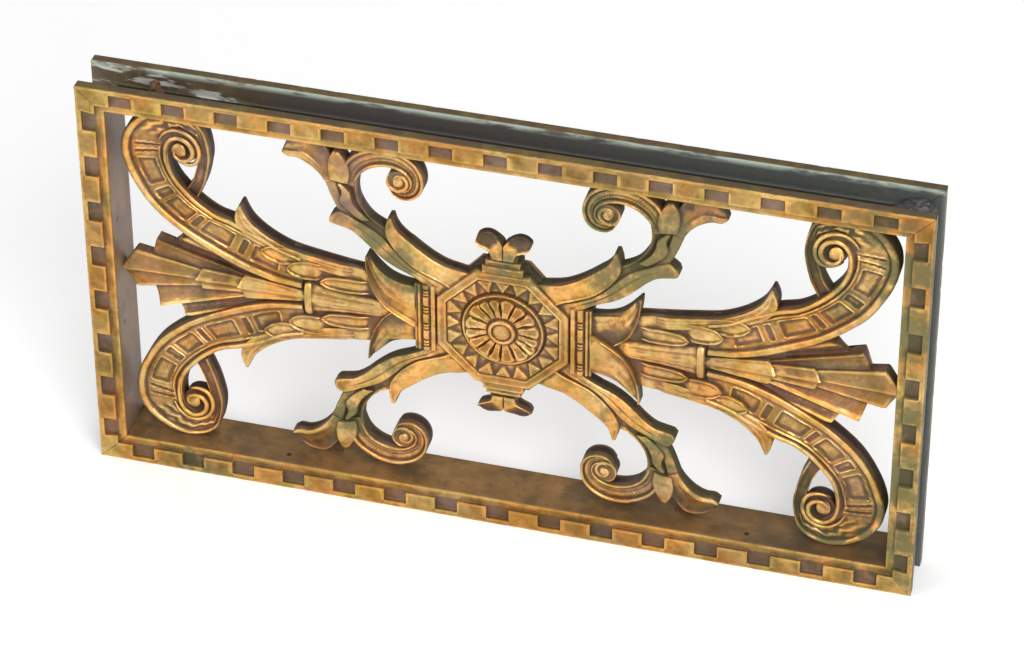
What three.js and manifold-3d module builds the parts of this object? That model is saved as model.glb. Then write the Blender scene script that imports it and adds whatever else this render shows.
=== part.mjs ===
// Cast bronze grille panel: four mitred channel bars with a dentil fret, around one ornamental casting.
// Millimetres, +Z up, the front faces -Y. The origin is under the middle of the bottom bar.

import * as THREE from 'three';
import { mergeVertices } from 'three/addons/utils/BufferGeometryUtils.js';
import Module from 'manifold-3d';

const wasm = await Module();
wasm.setup();

// Frame
const PANEL_WIDTH = 570;
const PANEL_HEIGHT = 305;
const PANEL_DEPTH = 40;
const BAR_FACE = 18.5;
const FRONT_FLANGE = 8;
const BACK_FLANGE = 8;
const WEB = 3.5;

// Fret along the front flange: raised blocks that hang from a thin outer rim
const FRET_PITCH = 36.25;
const FRET_GAP = 15.2;
const FRET_RIM = 3.5;
const FRET_REACH = 13;
const FRET_SINK = 3;

// Casting
const CASTING_SETBACK = 15;
const CASTING_THICKNESS = 12;
const STEM_THICKNESS = 10;
const SCALE_THICKNESS = 9;
const FOOT_THICKNESS = 5;

// Bolt, nut and solder in the top channel
const BOLT_DIAMETER = 7.4;
const BOLT_FROM_END = 49;
const NUT_WIDTH = 11.5;
const NUT_HEIGHT = 6;
const SOLDER_FROM_END = 21;
const SOLDER_LENGTH = 28;
const SOLDER_HEIGHT = 10;

// Air between neighbouring pieces
const CLEARANCE = 0.3;

// The ornament is drawn on one quarter of its field, u outwards from the middle and w away from mid-height.
// The large scroll reaches highest and the fan's middle lobe furthest out.
const FAN_TIP = 266.2;
const BAND_OUTER = [
  [139, 6.5], [160, 8.8], [180, 15], [198, 23.2], [216, 33], [231, 44], [243, 55.5], [252.5, 70],
  [259, 84.5], [261.8, 98], [259.5, 110.5], [251.5, 122], [240, 130.3], [226, 133.7],
  [213, 130.8], [204.5, 123.8], [201, 113], [200.3, 101], [202.3, 91], [206.3, 83], [212.3, 73.2]];

// The drawing fills the opening of the frame, whichever of its forms reaches furthest
const drawnHalfWidth = Math.max(FAN_TIP, ...BAND_OUTER.map(([u]) => u));
const drawnHalfHeight = Math.max(...BAND_OUTER.map(([, w]) => w));
const stretchU = (PANEL_WIDTH / 2 - BAR_FACE - CLEARANCE) / drawnHalfWidth;
const stretchW = (PANEL_HEIGHT / 2 - BAR_FACE - CLEARANCE) / drawnHalfHeight;
const CREST_Y = CASTING_SETBACK - PANEL_DEPTH / 2;

const AXIS_X = new THREE.Vector3(1, 0, 0);
const AXIS_Z = new THREE.Vector3(0, 0, 1);

// A point of the casting: drawing coordinates, and how far it is sunk behind the crest plane
const at = (u, w, sink) => new THREE.Vector3(u * stretchU, CREST_Y + sink, w * stretchW);

const mix = (a, b, t) => a + (b - a) * t;

// Solids and booleans

function mergedPositions(geometry) {
  const bare = geometry.clone();
  bare.deleteAttribute('normal');
  bare.deleteAttribute('uv');
  return mergeVertices(bare, 1e-4);
}

function solidOf(geometry) {
  const merged = mergedPositions(geometry);
  const corners = merged.index.array;
  const kept = [];
  for (let i = 0; i < corners.length; i += 3) {
    const [a, b, c] = [corners[i], corners[i + 1], corners[i + 2]];
    if (a !== b && b !== c && c !== a) kept.push(a, b, c);
  }
  return new wasm.Manifold(new wasm.Mesh({
    numProp: 3,
    vertProperties: new Float32Array(merged.attributes.position.array),
    triVerts: new Uint32Array(kept),
  }));
}

function geometryOf(solid) {
  const { vertProperties, triVerts } = solid.getMesh();
  const geometry = new THREE.BufferGeometry();
  geometry.setAttribute('position', new THREE.BufferAttribute(new Float32Array(vertProperties), 3));
  geometry.setIndex(new THREE.BufferAttribute(new Uint32Array(triVerts), 1));
  geometry.computeVertexNormals();
  return geometry;
}

const joined = (geometries) => geometries.map(solidOf).reduce((sum, next) => sum.add(next));

// Mirrors a geometry across the plane x = 0 or z = 0 and turns its faces out again
function mirrored(geometry, axis) {
  const copy = geometry.index ? geometry.toNonIndexed() : geometry.clone();
  const sign = new THREE.Vector3(1, 1, 1).addScaledVector(axis, -2);
  copy.scale(sign.x, sign.y, sign.z);
  const position = copy.attributes.position;
  const first = new THREE.Vector3();
  const second = new THREE.Vector3();
  for (let i = 0; i < position.count; i += 3) {
    first.fromBufferAttribute(position, i);
    second.fromBufferAttribute(position, i + 1);
    position.setXYZ(i, second.x, second.y, second.z);
    position.setXYZ(i + 1, first.x, first.y, first.z);
  }
  return copy;
}

const leftAndRight = (geometries) => [...geometries, ...geometries.map((g) => mirrored(g, AXIS_X))];
const aboveAndBelow = (geometries) => [...geometries, ...geometries.map((g) => mirrored(g, AXIS_Z))];

// Closed body through equal rings; each ring is a closed section, its last two points lie on the back
function loft(rings) {
  const size = rings[0].length;
  const positions = rings.flat().flatMap((p) => [p.x, p.y, p.z]);
  const faces = [];
  for (let i = 0; i + 1 < rings.length; i += 1) {
    for (let k = 0; k < size; k += 1) {
      const a = i * size + k;
      const b = i * size + ((k + 1) % size);
      faces.push(a, b, a + size, b, b + size, a + size);
    }
  }
  const cap = (ring, base, flip) => {
    const across = ring[size - 2].clone().sub(ring[size - 1]).setY(0).normalize();
    const flat = ring.map((p) => new THREE.Vector2(p.clone().sub(ring[0]).dot(across), p.y));
    const order = THREE.ShapeUtils.triangulateShape(flat, []);
    const turned = THREE.ShapeUtils.isClockWise(flat) ? !flip : flip;
    order.forEach(([a, b, c]) => faces.push(base + a, base + (turned ? c : b), base + (turned ? b : c)));
  };
  cap(rings[0], 0, true);
  cap(rings[rings.length - 1], (rings.length - 1) * size, false);
  const geometry = new THREE.BufferGeometry();
  geometry.setAttribute('position', new THREE.Float32BufferAttribute(positions, 3));
  geometry.setIndex(faces);
  return facesOut(consistent(geometry, size, rings.length));
}

// Turns over the triangles of an index list from one place up to another
function flipTriangles(index, from, to) {
  for (let i = from; i < to; i += 3) {
    [index[i + 1], index[i + 2]] = [index[i + 2], index[i + 1]];
  }
}

// Turns the caps to agree with the sides: the sides run one way round, so a cap that disagrees is flipped
function consistent(geometry, size, count) {
  const index = Array.from(geometry.index.array);
  const sides = (count - 1) * size * 6;
  const edges = (i) => [0, 1, 2].map((k) => `${index[i + k]}>${index[i + ((k + 1) % 3)]}`);
  const directed = new Set();
  for (let i = 0; i < sides; i += 3) edges(i).forEach((edge) => directed.add(edge));
  const capLength = (index.length - sides) / 2;
  [sides, sides + capLength].forEach((start) => {
    const corners = Array.from({ length: capLength / 3 }, (_, n) => start + n * 3);
    const clash = corners.some((i) => edges(i).some((edge) => directed.has(edge)));
    if (clash) flipTriangles(index, start, start + capLength);
  });
  geometry.setIndex(index);
  return geometry;
}

// Flips a closed geometry whose enclosed volume comes out negative
function facesOut(geometry) {
  const index = Array.from(geometry.index.array);
  const position = geometry.attributes.position;
  const corner = [new THREE.Vector3(), new THREE.Vector3(), new THREE.Vector3()];
  let volume = 0;
  for (let i = 0; i < index.length; i += 3) {
    corner.forEach((p, k) => p.fromBufferAttribute(position, index[i + k]));
    volume += corner[0].dot(corner[1].clone().cross(corner[2]));
  }
  if (volume < 0) {
    flipTriangles(index, 0, index.length);
    geometry.setIndex(index);
  }
  return geometry.toNonIndexed();
}

// Ribbon of metal between two edges that run in step. The profile lists, for the place s along it,
// [share of the way across, sink of the front face]; the back is flat.
const edgeCurve = (points) => new THREE.CatmullRomCurve3(
  points.map(([u, w]) => new THREE.Vector3(u, w, 0)), false, 'centripetal');

function ribbonRing(outer, inner, s, profile, back) {
  const from = outer.getPoint(s);
  const to = inner.getPoint(s);
  const across = (t, sink) => at(mix(from.x, to.x, t), mix(from.y, to.y, t), sink);
  return [...profile.map(([t, sink]) => across(t, sink)), across(1, back), across(0, back)];
}

function ribbon({ outer, inner, steps, profile, back = CASTING_THICKNESS }) {
  const outerCurve = edgeCurve(outer);
  const innerCurve = edgeCurve(inner);
  const rings = [];
  for (let i = 0; i <= steps; i += 1) {
    rings.push(ribbonRing(outerCurve, innerCurve, i / steps, profile(i / steps), back));
  }
  return loft(rings);
}

// Rounded across, with its crest at the given sink and its edges lower by the given drop
const domed = (crest, drop) => () => [
  [0, crest + drop], [0.45, crest], [1, crest + drop]];

// Flat plate of the casting with a bevelled front edge
function plate(points, sink, back, bevel) {
  const shape = new THREE.Shape(points.map(([u, w]) => new THREE.Vector2(u * stretchU, w * stretchW)));
  const options = bevel > 0
    ? {
      depth: back - sink - bevel,
      bevelThickness: bevel,
      bevelSize: bevel,
      bevelOffset: -bevel,
      bevelSegments: 1,
    }
    : { depth: back - sink, bevelEnabled: false };
  const geometry = new THREE.ExtrudeGeometry(shape, { ...options, curveSegments: 4 });
  geometry.rotateX(Math.PI / 2);
  geometry.translate(0, CREST_Y + back, 0);
  return geometry;
}

const block = (u0, u1, w0, w1, sink, back) => plate([[u0, w0], [u1, w0], [u1, w1], [u0, w1]], sink, back, 0);

// Turned form around the depth axis at a place of the drawing; the profile lists [radius, sink]
function turned(u, w, profile, sides, start = 0) {
  const points = profile.map(([radius, sink]) => new THREE.Vector2(radius, sink));
  const lathe = new THREE.LatheGeometry(points, sides, start);
  lathe.scale(stretchU, 1, stretchW);
  const place = at(u, w, 0);
  lathe.translate(place.x, place.y, place.z);
  return facesOut(mergedPositions(lathe));
}

// Frame bars

function barSection() {
  const floor = BAR_FACE - WEB;
  return new THREE.Shape([
    [0, 0], [FRET_REACH, 0], [FRET_REACH, FRET_SINK], [BAR_FACE, FRET_SINK],
    [BAR_FACE, PANEL_DEPTH], [0, PANEL_DEPTH], [0, PANEL_DEPTH - BACK_FLANGE],
    [floor, PANEL_DEPTH - BACK_FLANGE], [floor, FRONT_FLANGE], [0, FRONT_FLANGE],
  ].map(([across, depth]) => new THREE.Vector2(across, depth)));
}

// A bar lies along X with its outer edge at z = 0; both ends are cut at 45 degrees
function barGeometry(length) {
  const half = length / 2;
  const mitreAir = CLEARANCE / Math.SQRT2;
  const bar = new THREE.ExtrudeGeometry(barSection(), { depth: 1, bevelEnabled: false });
  const position = bar.attributes.position;
  for (let i = 0; i < position.count; i += 1) {
    const across = position.getX(i);
    const depth = position.getY(i);
    const end = position.getZ(i) * 2 - 1;
    position.setXYZ(i, end * (half - across - mitreAir), depth - PANEL_DEPTH / 2, across);
  }
  const gaps = Math.ceil((length - 2 * BAR_FACE) / FRET_PITCH);
  const body = solidOf(facesOut(mergedPositions(bar)));
  const cuts = [];
  for (let i = 0; i < gaps; i += 1) {
    const cut = new THREE.BoxGeometry(FRET_GAP, 2 * FRET_SINK, FRET_REACH - FRET_RIM + 1);
    cut.translate((i - (gaps - 1) / 2) * FRET_PITCH, -PANEL_DEPTH / 2, (FRET_REACH + FRET_RIM + 1) / 2);
    cuts.push(cut);
  }
  return geometryOf(body.subtract(joined(cuts)));
}

// Medallion

const OCTAGON_HALF = 45.5;
const BORDER_INNER = 38;
const TOOTH_FLOOR = 2.6;
const TOOTH_COUNT = 20;
const TOOTH_POINT = 29.5;
const ROSETTE_RADIUS = 28;
const PETAL_COUNT = 16;
const PETAL_ROOT = 10;
const PETAL_TIP = 25.3;
const BUTTON_RADIUS = 9.5;
const EIGHTH = Math.PI / 4;

// Distance from the middle to a regular octagon of the given half-width, in direction angle
function octagonRadius(half, angle) {
  const offCentre = ((angle % EIGHTH) + 1.5 * EIGHTH) % EIGHTH - EIGHTH / 2;
  return half / Math.cos(offCentre);
}

function octagonBody() {
  const corner = 1 / Math.cos(EIGHTH / 2);
  const profile = [
    [0, CASTING_THICKNESS], [OCTAGON_HALF, CASTING_THICKNESS], [OCTAGON_HALF, 2.5], [OCTAGON_HALF - 4, -0.6],
    [BORDER_INNER + 1.5, -0.6], [BORDER_INNER, TOOTH_FLOOR], [0, TOOTH_FLOOR],
  ].map(([half, sink]) => [half * corner, sink]);
  return turned(0, 0, profile, 8, EIGHTH / 2);
}

function tooth(index) {
  const angle = (index * 2 * Math.PI) / TOOTH_COUNT;
  const spread = (Math.PI / TOOTH_COUNT) * 0.84;
  const corner = (direction, radius) => [radius * Math.cos(direction), radius * Math.sin(direction)];
  const base = (direction) => corner(direction, octagonRadius(BORDER_INNER + 0.6, direction));
  const outline = [base(angle - spread), base(angle + spread), corner(angle, TOOTH_POINT)];
  return plate(outline, 0.4, TOOTH_FLOOR + 1, 0);
}

function petal(index) {
  const angle = ((index + 0.5) * 2 * Math.PI) / PETAL_COUNT;
  const stations = [[PETAL_ROOT, 1.6], [21.5, 3.8], [PETAL_TIP, 1.7]];
  const edge = (side) => stations.map(([radius, half]) => [
    radius * Math.cos(angle) - side * half * Math.sin(angle),
    radius * Math.sin(angle) + side * half * Math.cos(angle)]);
  const crest = (s) => (s < 0.4 ? 0.8 : -1.6);
  return ribbon({
    outer: edge(1),
    inner: edge(-1),
    steps: 2,
    profile: (s) => [[0, crest(s) + 2.4], [0.5, crest(s)], [1, crest(s) + 2.4]],
    back: TOOTH_FLOOR + 1.5,
  });
}

function medallion() {
  const ring = turned(0, 0, [
    [0, 6], [ROSETTE_RADIUS, 6], [ROSETTE_RADIUS, 0.4], [PETAL_TIP - 0.2, 1.8], [0, 1.8]], 20);
  const button = turned(0, 0, [
    [0, 6], [BUTTON_RADIUS, 6], [BUTTON_RADIUS, -1.4], [8.4, -2.4], [7, -1.2], [5, -2.8], [0, -3.4]], 14);
  const teeth = Array.from({ length: TOOTH_COUNT }, (_, i) => tooth(i));
  const petals = Array.from({ length: PETAL_COUNT }, (_, i) => petal(i));
  return [octagonBody(), ring, button, ...teeth, ...petals];
}

// Stepped pediment with its two-lobed fleuron, above the medallion
function pediment() {
  const shoulders = plate(
    [[-28, 38], [28, 38], [21.5, 50], [14, 51.5], [-14, 51.5], [-21.5, 50]], 5, CASTING_THICKNESS, 0);
  const steps = [[14, 40, 50.3, 0.3], [12, 49, 54.5, 1.5], [9.5, 53, 58.8, 3]]
    .map(([half, low, high, sink]) => block(-half, half, low, high, sink, CASTING_THICKNESS));
  const lobe = [[5, 71.5], [10, 73.8], [15, 73], [18.6, 69.6], [18, 66], [13.5, 63.2], [9.3, 60.3], [8, 56]];
  const outline = [[0, 67], ...lobe, ...lobe.map(([u, w]) => [-u, w]).reverse()];
  return [shoulders, ...steps, plate(outline, 0.5, STEM_THICKNESS, 1.5)];
}

// Collar beside the medallion, with a bead-and-reel strip between fillets

const COLLAR_INNER = 43;
const COLLAR_OUTER = 60.5;
const COLLAR_HALF = 26.5;
const BEAD_STRIP = 52.8;
const BEAD_RADIUS = 2.7;
const BEAD_PITCH = 14.5;

function collar() {
  const body = block(COLLAR_INNER, COLLAR_OUTER, -COLLAR_HALF, COLLAR_HALF, 1.6, CASTING_THICKNESS);
  const fillets = [[47, 49.2], [56.6, 58.2], [59, COLLAR_OUTER]]
    .map(([from, to]) => block(from, to, -COLLAR_HALF, COLLAR_HALF, 0.5, CASTING_THICKNESS));
  const strip = [];
  const add = (middle, length, radius) => {
    const roll = new THREE.CylinderGeometry(radius, radius, length * stretchW, 6);
    roll.rotateX(Math.PI / 2);
    const place = at(BEAD_STRIP, middle, 1.7);
    roll.translate(place.x, place.y, place.z);
    strip.push(roll);
  };
  for (let i = -2; i < 2; i += 1) add((i + 0.5) * BEAD_PITCH, BEAD_PITCH - 5.6, BEAD_RADIUS);
  for (let i = -1; i < 2; i += 1) add(i * BEAD_PITCH, 3.4, BEAD_RADIUS - 0.6);
  return [body, ...fillets, ...strip];
}

// Root that carries the husk, both large stems and the fan; upper quarter only. It sinks under the fan.
function rootPlate() {
  const sink = (s) => mix(4.2, 6.5, Math.max(0, s - 0.6) / 0.4);
  return ribbon({
    outer: [[60, -1], [80, -1], [100, -1], [120, -1], [142, -1], [165, -1], [190, -1]],
    inner: [[60, 22], [80, 25.5], [98, 29.8], [118, 30.8], [142, 33.5], [165, 30], [190, 22]],
    steps: 6,
    profile: (s) => [[0, sink(s)], [1, sink(s)]],
    back: STEM_THICKNESS,
  });
}

// Calyx leaf whose tip stands out past the stem
const calyxLeaf = () => ribbon({
  outer: [[60, 23], [70, 24.3], [78, 27.3], [84, 32], [88.5, 37], [91, 40], [92.4, 41.6]],
  inner: [[60, -8], [72, -2], [81, 4.5], [87, 12.5], [91, 22.5], [93.3, 34], [93.9, 41.6]],
  steps: 5,
  profile: (s) => [[0, mix(3, 1.5, s)], [0.8, 1.6], [0.94, -0.9], [1, 0.6]],
});

// Husk that widens like a bell to a ring, from which the fan springs
function husk() {
  const round = [[0, 5], [0.12, 1.4], [0.36, -1], [0.64, -1], [0.88, 1.4], [1, 5]];
  const bell = ribbon({
    outer: [[84, 6.8], [100, 7.8], [116, 9.4], [132.5, 12]],
    inner: [[84, -6.8], [100, -7.8], [116, -9.4], [132.5, -12]],
    steps: 3,
    profile: () => round,
  });
  const ring = ribbon({
    outer: [[132, 12.4], [134.5, 13], [137, 12]],
    inner: [[132, -12.4], [134.5, -13], [137, -12]],
    steps: 2,
    profile: (s) => round.map(([t, sink]) => [t, sink - 1.2 * Math.sin(Math.PI * s) - 0.3]),
  });
  return [bell, ring];
}

// Fan palmette. A lobe is a leaf folded along its ridge: three lines from root to tip, [u, w] and sinks.
function lobe(lines) {
  return ribbon({
    outer: lines.map(({ root }) => root),
    inner: lines.map(({ tip }) => tip),
    steps: lines.length - 1,
    profile: (s) => {
      const { sinks } = lines[Math.round(s * (lines.length - 1))];
      return [[0, sinks[0]], [1, sinks[1]]];
    },
  });
}

function fanMiddle() {
  const stage = (rootU, rootW, sideU, sideW, tipU, rootSink, tipSink) => lobe([
    { root: [rootU, rootW], tip: [sideU, sideW], sinks: [rootSink + 2, tipSink + 3.6] },
    { root: [rootU, 0], tip: [tipU, 0], sinks: [rootSink, tipSink] },
    { root: [rootU, -rootW], tip: [sideU, -sideW], sinks: [rootSink + 2, tipSink + 3.6] },
  ]);
  return [
    stage(135, 4, 178.5, 9.5, 184.5, 1, -0.6),
    stage(174, 5.4, 209, 8.3, 214.5, 2.2, 0.6),
    stage(204, 5.6, 256.5, 14.8, FAN_TIP, 3.2, 0.8),
  ];
}

const fanSide = () => [
  lobe([
    { root: [150, -2], tip: [246, 12], sinks: [5, 3.6] },
    { root: [160, 3], tip: [240.8, 27.4], sinks: [4.4, 1.6] },
    { root: [170, 5.5], tip: [231, 23.2], sinks: [5, 4.4] },
  ]),
  lobe([
    { root: [148, 2], tip: [232, 22], sinks: [6, 4.6] },
    { root: [150, 6], tip: [222.6, 31.8], sinks: [5.2, 2.4] },
    { root: [148, 12], tip: [209, 36], sinks: [5.6, 5] },
  ]),
];

// Large scroll: a broad band with raised rims and sunk panels, ending in a volute

const BAND_INNER = [
  [139, 32], [154, 37], [168, 45], [184, 52.2], [197, 56], [208.5, 63.5], [218, 73], [224.5, 82], [227.5, 91],
  [228, 99.5], [226.4, 106], [223, 110.8], [218.5, 113.6], [214, 113.6], [210.2, 111], [208, 106.5],
  [207.2, 101], [207.6, 95], [208.8, 88.5], [211, 81], [213.6, 72.4]];
const BAND_STEPS = 16;
const BAND_RIM_SINK = 0.4;
const BAND_FLOOR_SINK = 2.6;
const PANEL_FLOOR_SINK = 4.6;

const bandProfile = () => [
  [0, 1.6], [0.12, BAND_RIM_SINK], [0.2, BAND_FLOOR_SINK], [0.79, BAND_FLOOR_SINK],
  [0.86, BAND_RIM_SINK], [1, 1.4]];

// Sunk panels along the band: a long one and a short one by turns, set out in shares of the band's points
const LONG_PANELS = [[3.05, 4.35], [5.05, 6.25], [7.15, 8.85]];
const SHORT_PANELS = [[2.3, 2.75], [4.55, 4.85], [6.45, 6.95]];

function panelCutter([start, end], sink) {
  const last = BAND_OUTER.length - 1;
  const outer = edgeCurve(BAND_OUTER);
  const inner = edgeCurve(BAND_INNER);
  const rings = [0, 1].map((share) => {
    const s = mix(start, end, share) / last;
    const sides = (depth) => ribbonRing(outer, inner, s, [[0.27, depth], [0.7, depth]], depth).slice(0, 2);
    return [...sides(sink), ...sides(-4).reverse()];
  });
  return loft(rings);
}

function volute(u, w, radius, crest) {
  return turned(u, w, [
    [0, CASTING_THICKNESS], [radius, CASTING_THICKNESS], [radius, crest + 1], [radius * 0.78, crest],
    [radius * 0.55, crest + 2], [0, crest - 1]], 9);
}

// Scale leaves that overlap along the underside of the large stem, the last one hooked
function scaleLeaves() {
  const leaf = (outer, inner) => ribbon({
    outer, inner, steps: 3, profile: domed(-0.9, 3.4), back: SCALE_THICKNESS });
  return [
    leaf([[126, 14], [121, 10.8], [110, 9.2], [95, 9.3]],
      [[126.4, 15.4], [122, 19], [111, 20.3], [95, 19.8]]),
    leaf([[149.2, 21], [145, 17], [136, 14.8], [126, 15.5], [115, 18.5]],
      [[149.2, 23], [144.5, 27.5], [134, 29.6], [124, 28.6], [115, 26]]),
    leaf([[167.2, 32], [162, 27], [153, 24], [144, 25.2], [134, 28]],
      [[167.2, 34], [161, 37.6], [152, 38.2], [143, 36.2], [134, 33]]),
    ribbon({
      outer: [[181.2, 66.4], [183.4, 60], [183.6, 52.5], [178, 44.5], [168.5, 38.6], [155, 37]],
      inner: [[179.2, 66.4], [176.8, 60.5], [173.3, 54.5], [166.5, 48], [158.5, 42.6], [150, 39]],
      steps: 5,
      profile: domed(-0.4, 3),
      back: STEM_THICKNESS,
    }),
  ];
}

function largeScroll() {
  const band = ribbon({ outer: BAND_OUTER, inner: BAND_INNER, steps: BAND_STEPS, profile: bandProfile });
  const cutters = [
    ...LONG_PANELS.map((range) => panelCutter(range, PANEL_FLOOR_SINK)),
    ...SHORT_PANELS.map((range) => panelCutter(range, PANEL_FLOOR_SINK)),
  ];
  const carved = geometryOf(solidOf(band).subtract(joined(cutters))).toNonIndexed();
  return [carved, volute(217.5, 105, 10, 0.6), ...scaleLeaves()];
}

// Medium scroll: an acanthus stem from the medallion to a small volute, with a curled foot on the frame
function mediumScroll() {
  const stem = ribbon({
    outer: [[40, 14], [57, 28.5], [66, 33.5], [74, 37], [82, 42], [90, 49], [97, 56], [104, 63], [111, 72],
      [114.5, 79], [117.5, 86], [120.3, 94], [123.5, 103]],
    inner: [[20, 40], [32, 42], [40, 43.9], [48, 47.7], [56, 53], [64, 59], [73, 64], [82, 67.5], [90, 72.5],
      [95, 79], [98.3, 86], [99.3, 93.5], [98.5, 101]],
    steps: 9,
    profile: () => [[0, 3.6], [0.28, 0.6], [0.68, 0.4], [1, 3.6]],
    back: STEM_THICKNESS,
  });
  const roll = ribbon({
    outer: [[112, 98], [108.5, 110], [104.5, 117.5], [98, 123.4], [90, 127.6], [81, 129.6], [72, 128.8],
      [64, 125.4], [57.5, 119.6], [53.9, 112], [53.2, 104], [55.6, 97.2], [60.6, 92.6], [67, 91.2],
      [73, 93.2], [76.6, 98.4]],
    inner: [[98.8, 96], [97, 104], [93.5, 108.7], [88.5, 112.2], [82, 114.4], [75.5, 114.8], [70, 113.6],
      [65.6, 111], [63, 107.4], [62.4, 103.6], [63.8, 100.6], [66.2, 98.8], [68.6, 98.4], [70.6, 99],
      [72, 100.4], [73, 102.4]],
    steps: 12,
    profile: () => [[0, 0.8], [0.3, 2.8], [0.75, 2.6], [1, 0.8]],
  });
  const foot = plate([
    [98.6, 99], [123.4, 101], [127, 107.4], [132, 111.3], [139, 113.4], [147, 113.4], [149, 117],
    [145.6, 121.6], [139, 125], [131, 127.8], [124, 127], [118, 124], [115, 120.4], [112.4, 121.4],
    [108.4, 119.8], [106, 113]], 0.6, FOOT_THICKNESS, 0);
  const seat = block(112, 132, 118, drawnHalfHeight, 5, CASTING_THICKNESS);
  const lip = ribbon({
    outer: [[116.6, 65], [111, 63], [104, 61], [95, 54]],
    inner: [[116.2, 71], [110.5, 75], [101, 71.6], [90, 62.5]],
    steps: 3,
    profile: domed(-1.2, 3.4),
    back: STEM_THICKNESS,
  });
  const forkLeaf = ribbon({
    outer: [[77.6, 75.4], [79.4, 68.5], [76.6, 61.5], [67, 53.6], [52, 46.4]],
    inner: [[75.6, 75.4], [73.4, 69], [69.6, 63], [61.6, 56], [46, 46.9]],
    steps: 4,
    profile: domed(-0.8, 3.6),
    back: STEM_THICKNESS,
  });
  return [stem, roll, volute(70.2, 104.8, 8.4, -0.2), foot, seat, lip, forkLeaf];
}

function castingGeometry() {
  const quarter = [rootPlate(), calyxLeaf(), ...largeScroll(), ...mediumScroll(), ...fanSide()];
  const side = [...collar(), ...husk(), ...fanMiddle()];
  return geometryOf(joined([
    ...medallion(),
    ...aboveAndBelow(pediment()),
    ...leftAndRight(side),
    ...leftAndRight(aboveAndBelow(quarter)),
  ]));
}

// Bolt, nut and solder

const CHANNEL_FLOOR = PANEL_HEIGHT - BAR_FACE + WEB;
const CHANNEL_MIDDLE = (FRONT_FLANGE - BACK_FLANGE) / 2;
const CHANNEL_WIDTH = PANEL_DEPTH - FRONT_FLANGE - BACK_FLANGE;

function boltGeometry() {
  const length = PANEL_HEIGHT - CHANNEL_FLOOR - CLEARANCE;
  const bolt = new THREE.CylinderGeometry(BOLT_DIAMETER / 2, BOLT_DIAMETER / 2, length, 12);
  bolt.rotateX(Math.PI / 2);
  bolt.translate(0, 0, length / 2);
  return bolt;
}

function nutGeometry() {
  const corner = NUT_WIDTH / 2 / Math.cos(Math.PI / 6);
  const hexagon = Array.from({ length: 6 }, (_, i) => (i * Math.PI) / 3)
    .map((angle) => new THREE.Vector2(corner * Math.cos(angle), corner * Math.sin(angle)));
  const shape = new THREE.Shape(hexagon);
  shape.holes.push(new THREE.Path().absarc(0, 0, BOLT_DIAMETER / 2 + CLEARANCE, 0, 2 * Math.PI, true));
  return new THREE.ExtrudeGeometry(shape, { depth: NUT_HEIGHT, bevelEnabled: false, curveSegments: 6 });
}

function solderGeometry() {
  const rows = 4;
  const profile = Array.from({ length: rows }, (_, i) => (i * Math.PI) / 2 / (rows - 1))
    .map((angle) => new THREE.Vector2(Math.cos(angle), Math.sin(angle)));
  profile[rows - 1].x = 0;
  const dome = new THREE.LatheGeometry([new THREE.Vector2(0, 0), ...profile], 12);
  dome.rotateX(Math.PI / 2);
  dome.scale(SOLDER_LENGTH / 2, CHANNEL_WIDTH / 2 - CLEARANCE, SOLDER_HEIGHT);
  return facesOut(mergedPositions(dome));
}

// Finishes

const bronze = new THREE.MeshStandardMaterial({ color: 0xb8873f, roughness: 0.5, metalness: 0.85 });
const darkBronze = new THREE.MeshStandardMaterial({ color: 0x8f6a38, roughness: 0.55, metalness: 0.8 });
const rust = new THREE.MeshStandardMaterial({ color: 0x6b3f26, roughness: 0.9, metalness: 0.3 });
const lead = new THREE.MeshStandardMaterial({ color: 0x4a4740, roughness: 0.8, metalness: 0.4 });

function named(name, geometry, material) {
  const mesh = new THREE.Mesh(geometry, material);
  mesh.name = name;
  return mesh;
}

// Assembly

const panel = new THREE.Group();

const barSeats = [
  ['frame_bar_bottom', PANEL_WIDTH, 0, [0, 0, 0]],
  ['frame_bar_top', PANEL_WIDTH, Math.PI, [0, 0, PANEL_HEIGHT]],
  ['frame_bar_left', PANEL_HEIGHT, Math.PI / 2, [-PANEL_WIDTH / 2, 0, PANEL_HEIGHT / 2]],
  ['frame_bar_right', PANEL_HEIGHT, -Math.PI / 2, [PANEL_WIDTH / 2, 0, PANEL_HEIGHT / 2]],
];
barSeats.forEach(([name, length, turn, place]) => {
  const bar = named(name, barGeometry(length), bronze);
  bar.rotation.y = turn;
  bar.position.set(...place);
  panel.add(bar);
});

const casting = named('grille_casting', castingGeometry(), darkBronze);
casting.position.z = PANEL_HEIGHT / 2;
panel.add(casting);

const channelFloor = new THREE.Group();
channelFloor.position.set(0, CHANNEL_MIDDLE, CHANNEL_FLOOR + CLEARANCE);
const bolt = named('channel_bolt', boltGeometry(), rust);
bolt.position.x = BOLT_FROM_END - PANEL_WIDTH / 2;
const nut = named('channel_nut', nutGeometry(), rust);
nut.position.x = bolt.position.x;
const solder = named('solder_lump', solderGeometry(), lead);
solder.position.x = PANEL_WIDTH / 2 - SOLDER_FROM_END;
channelFloor.add(bolt, nut, solder);
panel.add(channelFloor);

export default panel;
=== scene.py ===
"""Looks of the cast bronze grille panel: carved casting, channel frame, aged finishes, floor, light, camera.

Lengths are millimetres until a mesh is made. X runs to the right, Y backwards and Z up. The casting is drawn
on one quarter of its field: u outwards from the middle, w away from mid-height, and sink is how far a point
lies behind the crest plane.
"""

import logging
import math
from dataclasses import dataclass, field
from enum import Enum
from typing import Callable, Sequence

import bpy
import numpy as np
from mathutils import Matrix, Vector


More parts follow.
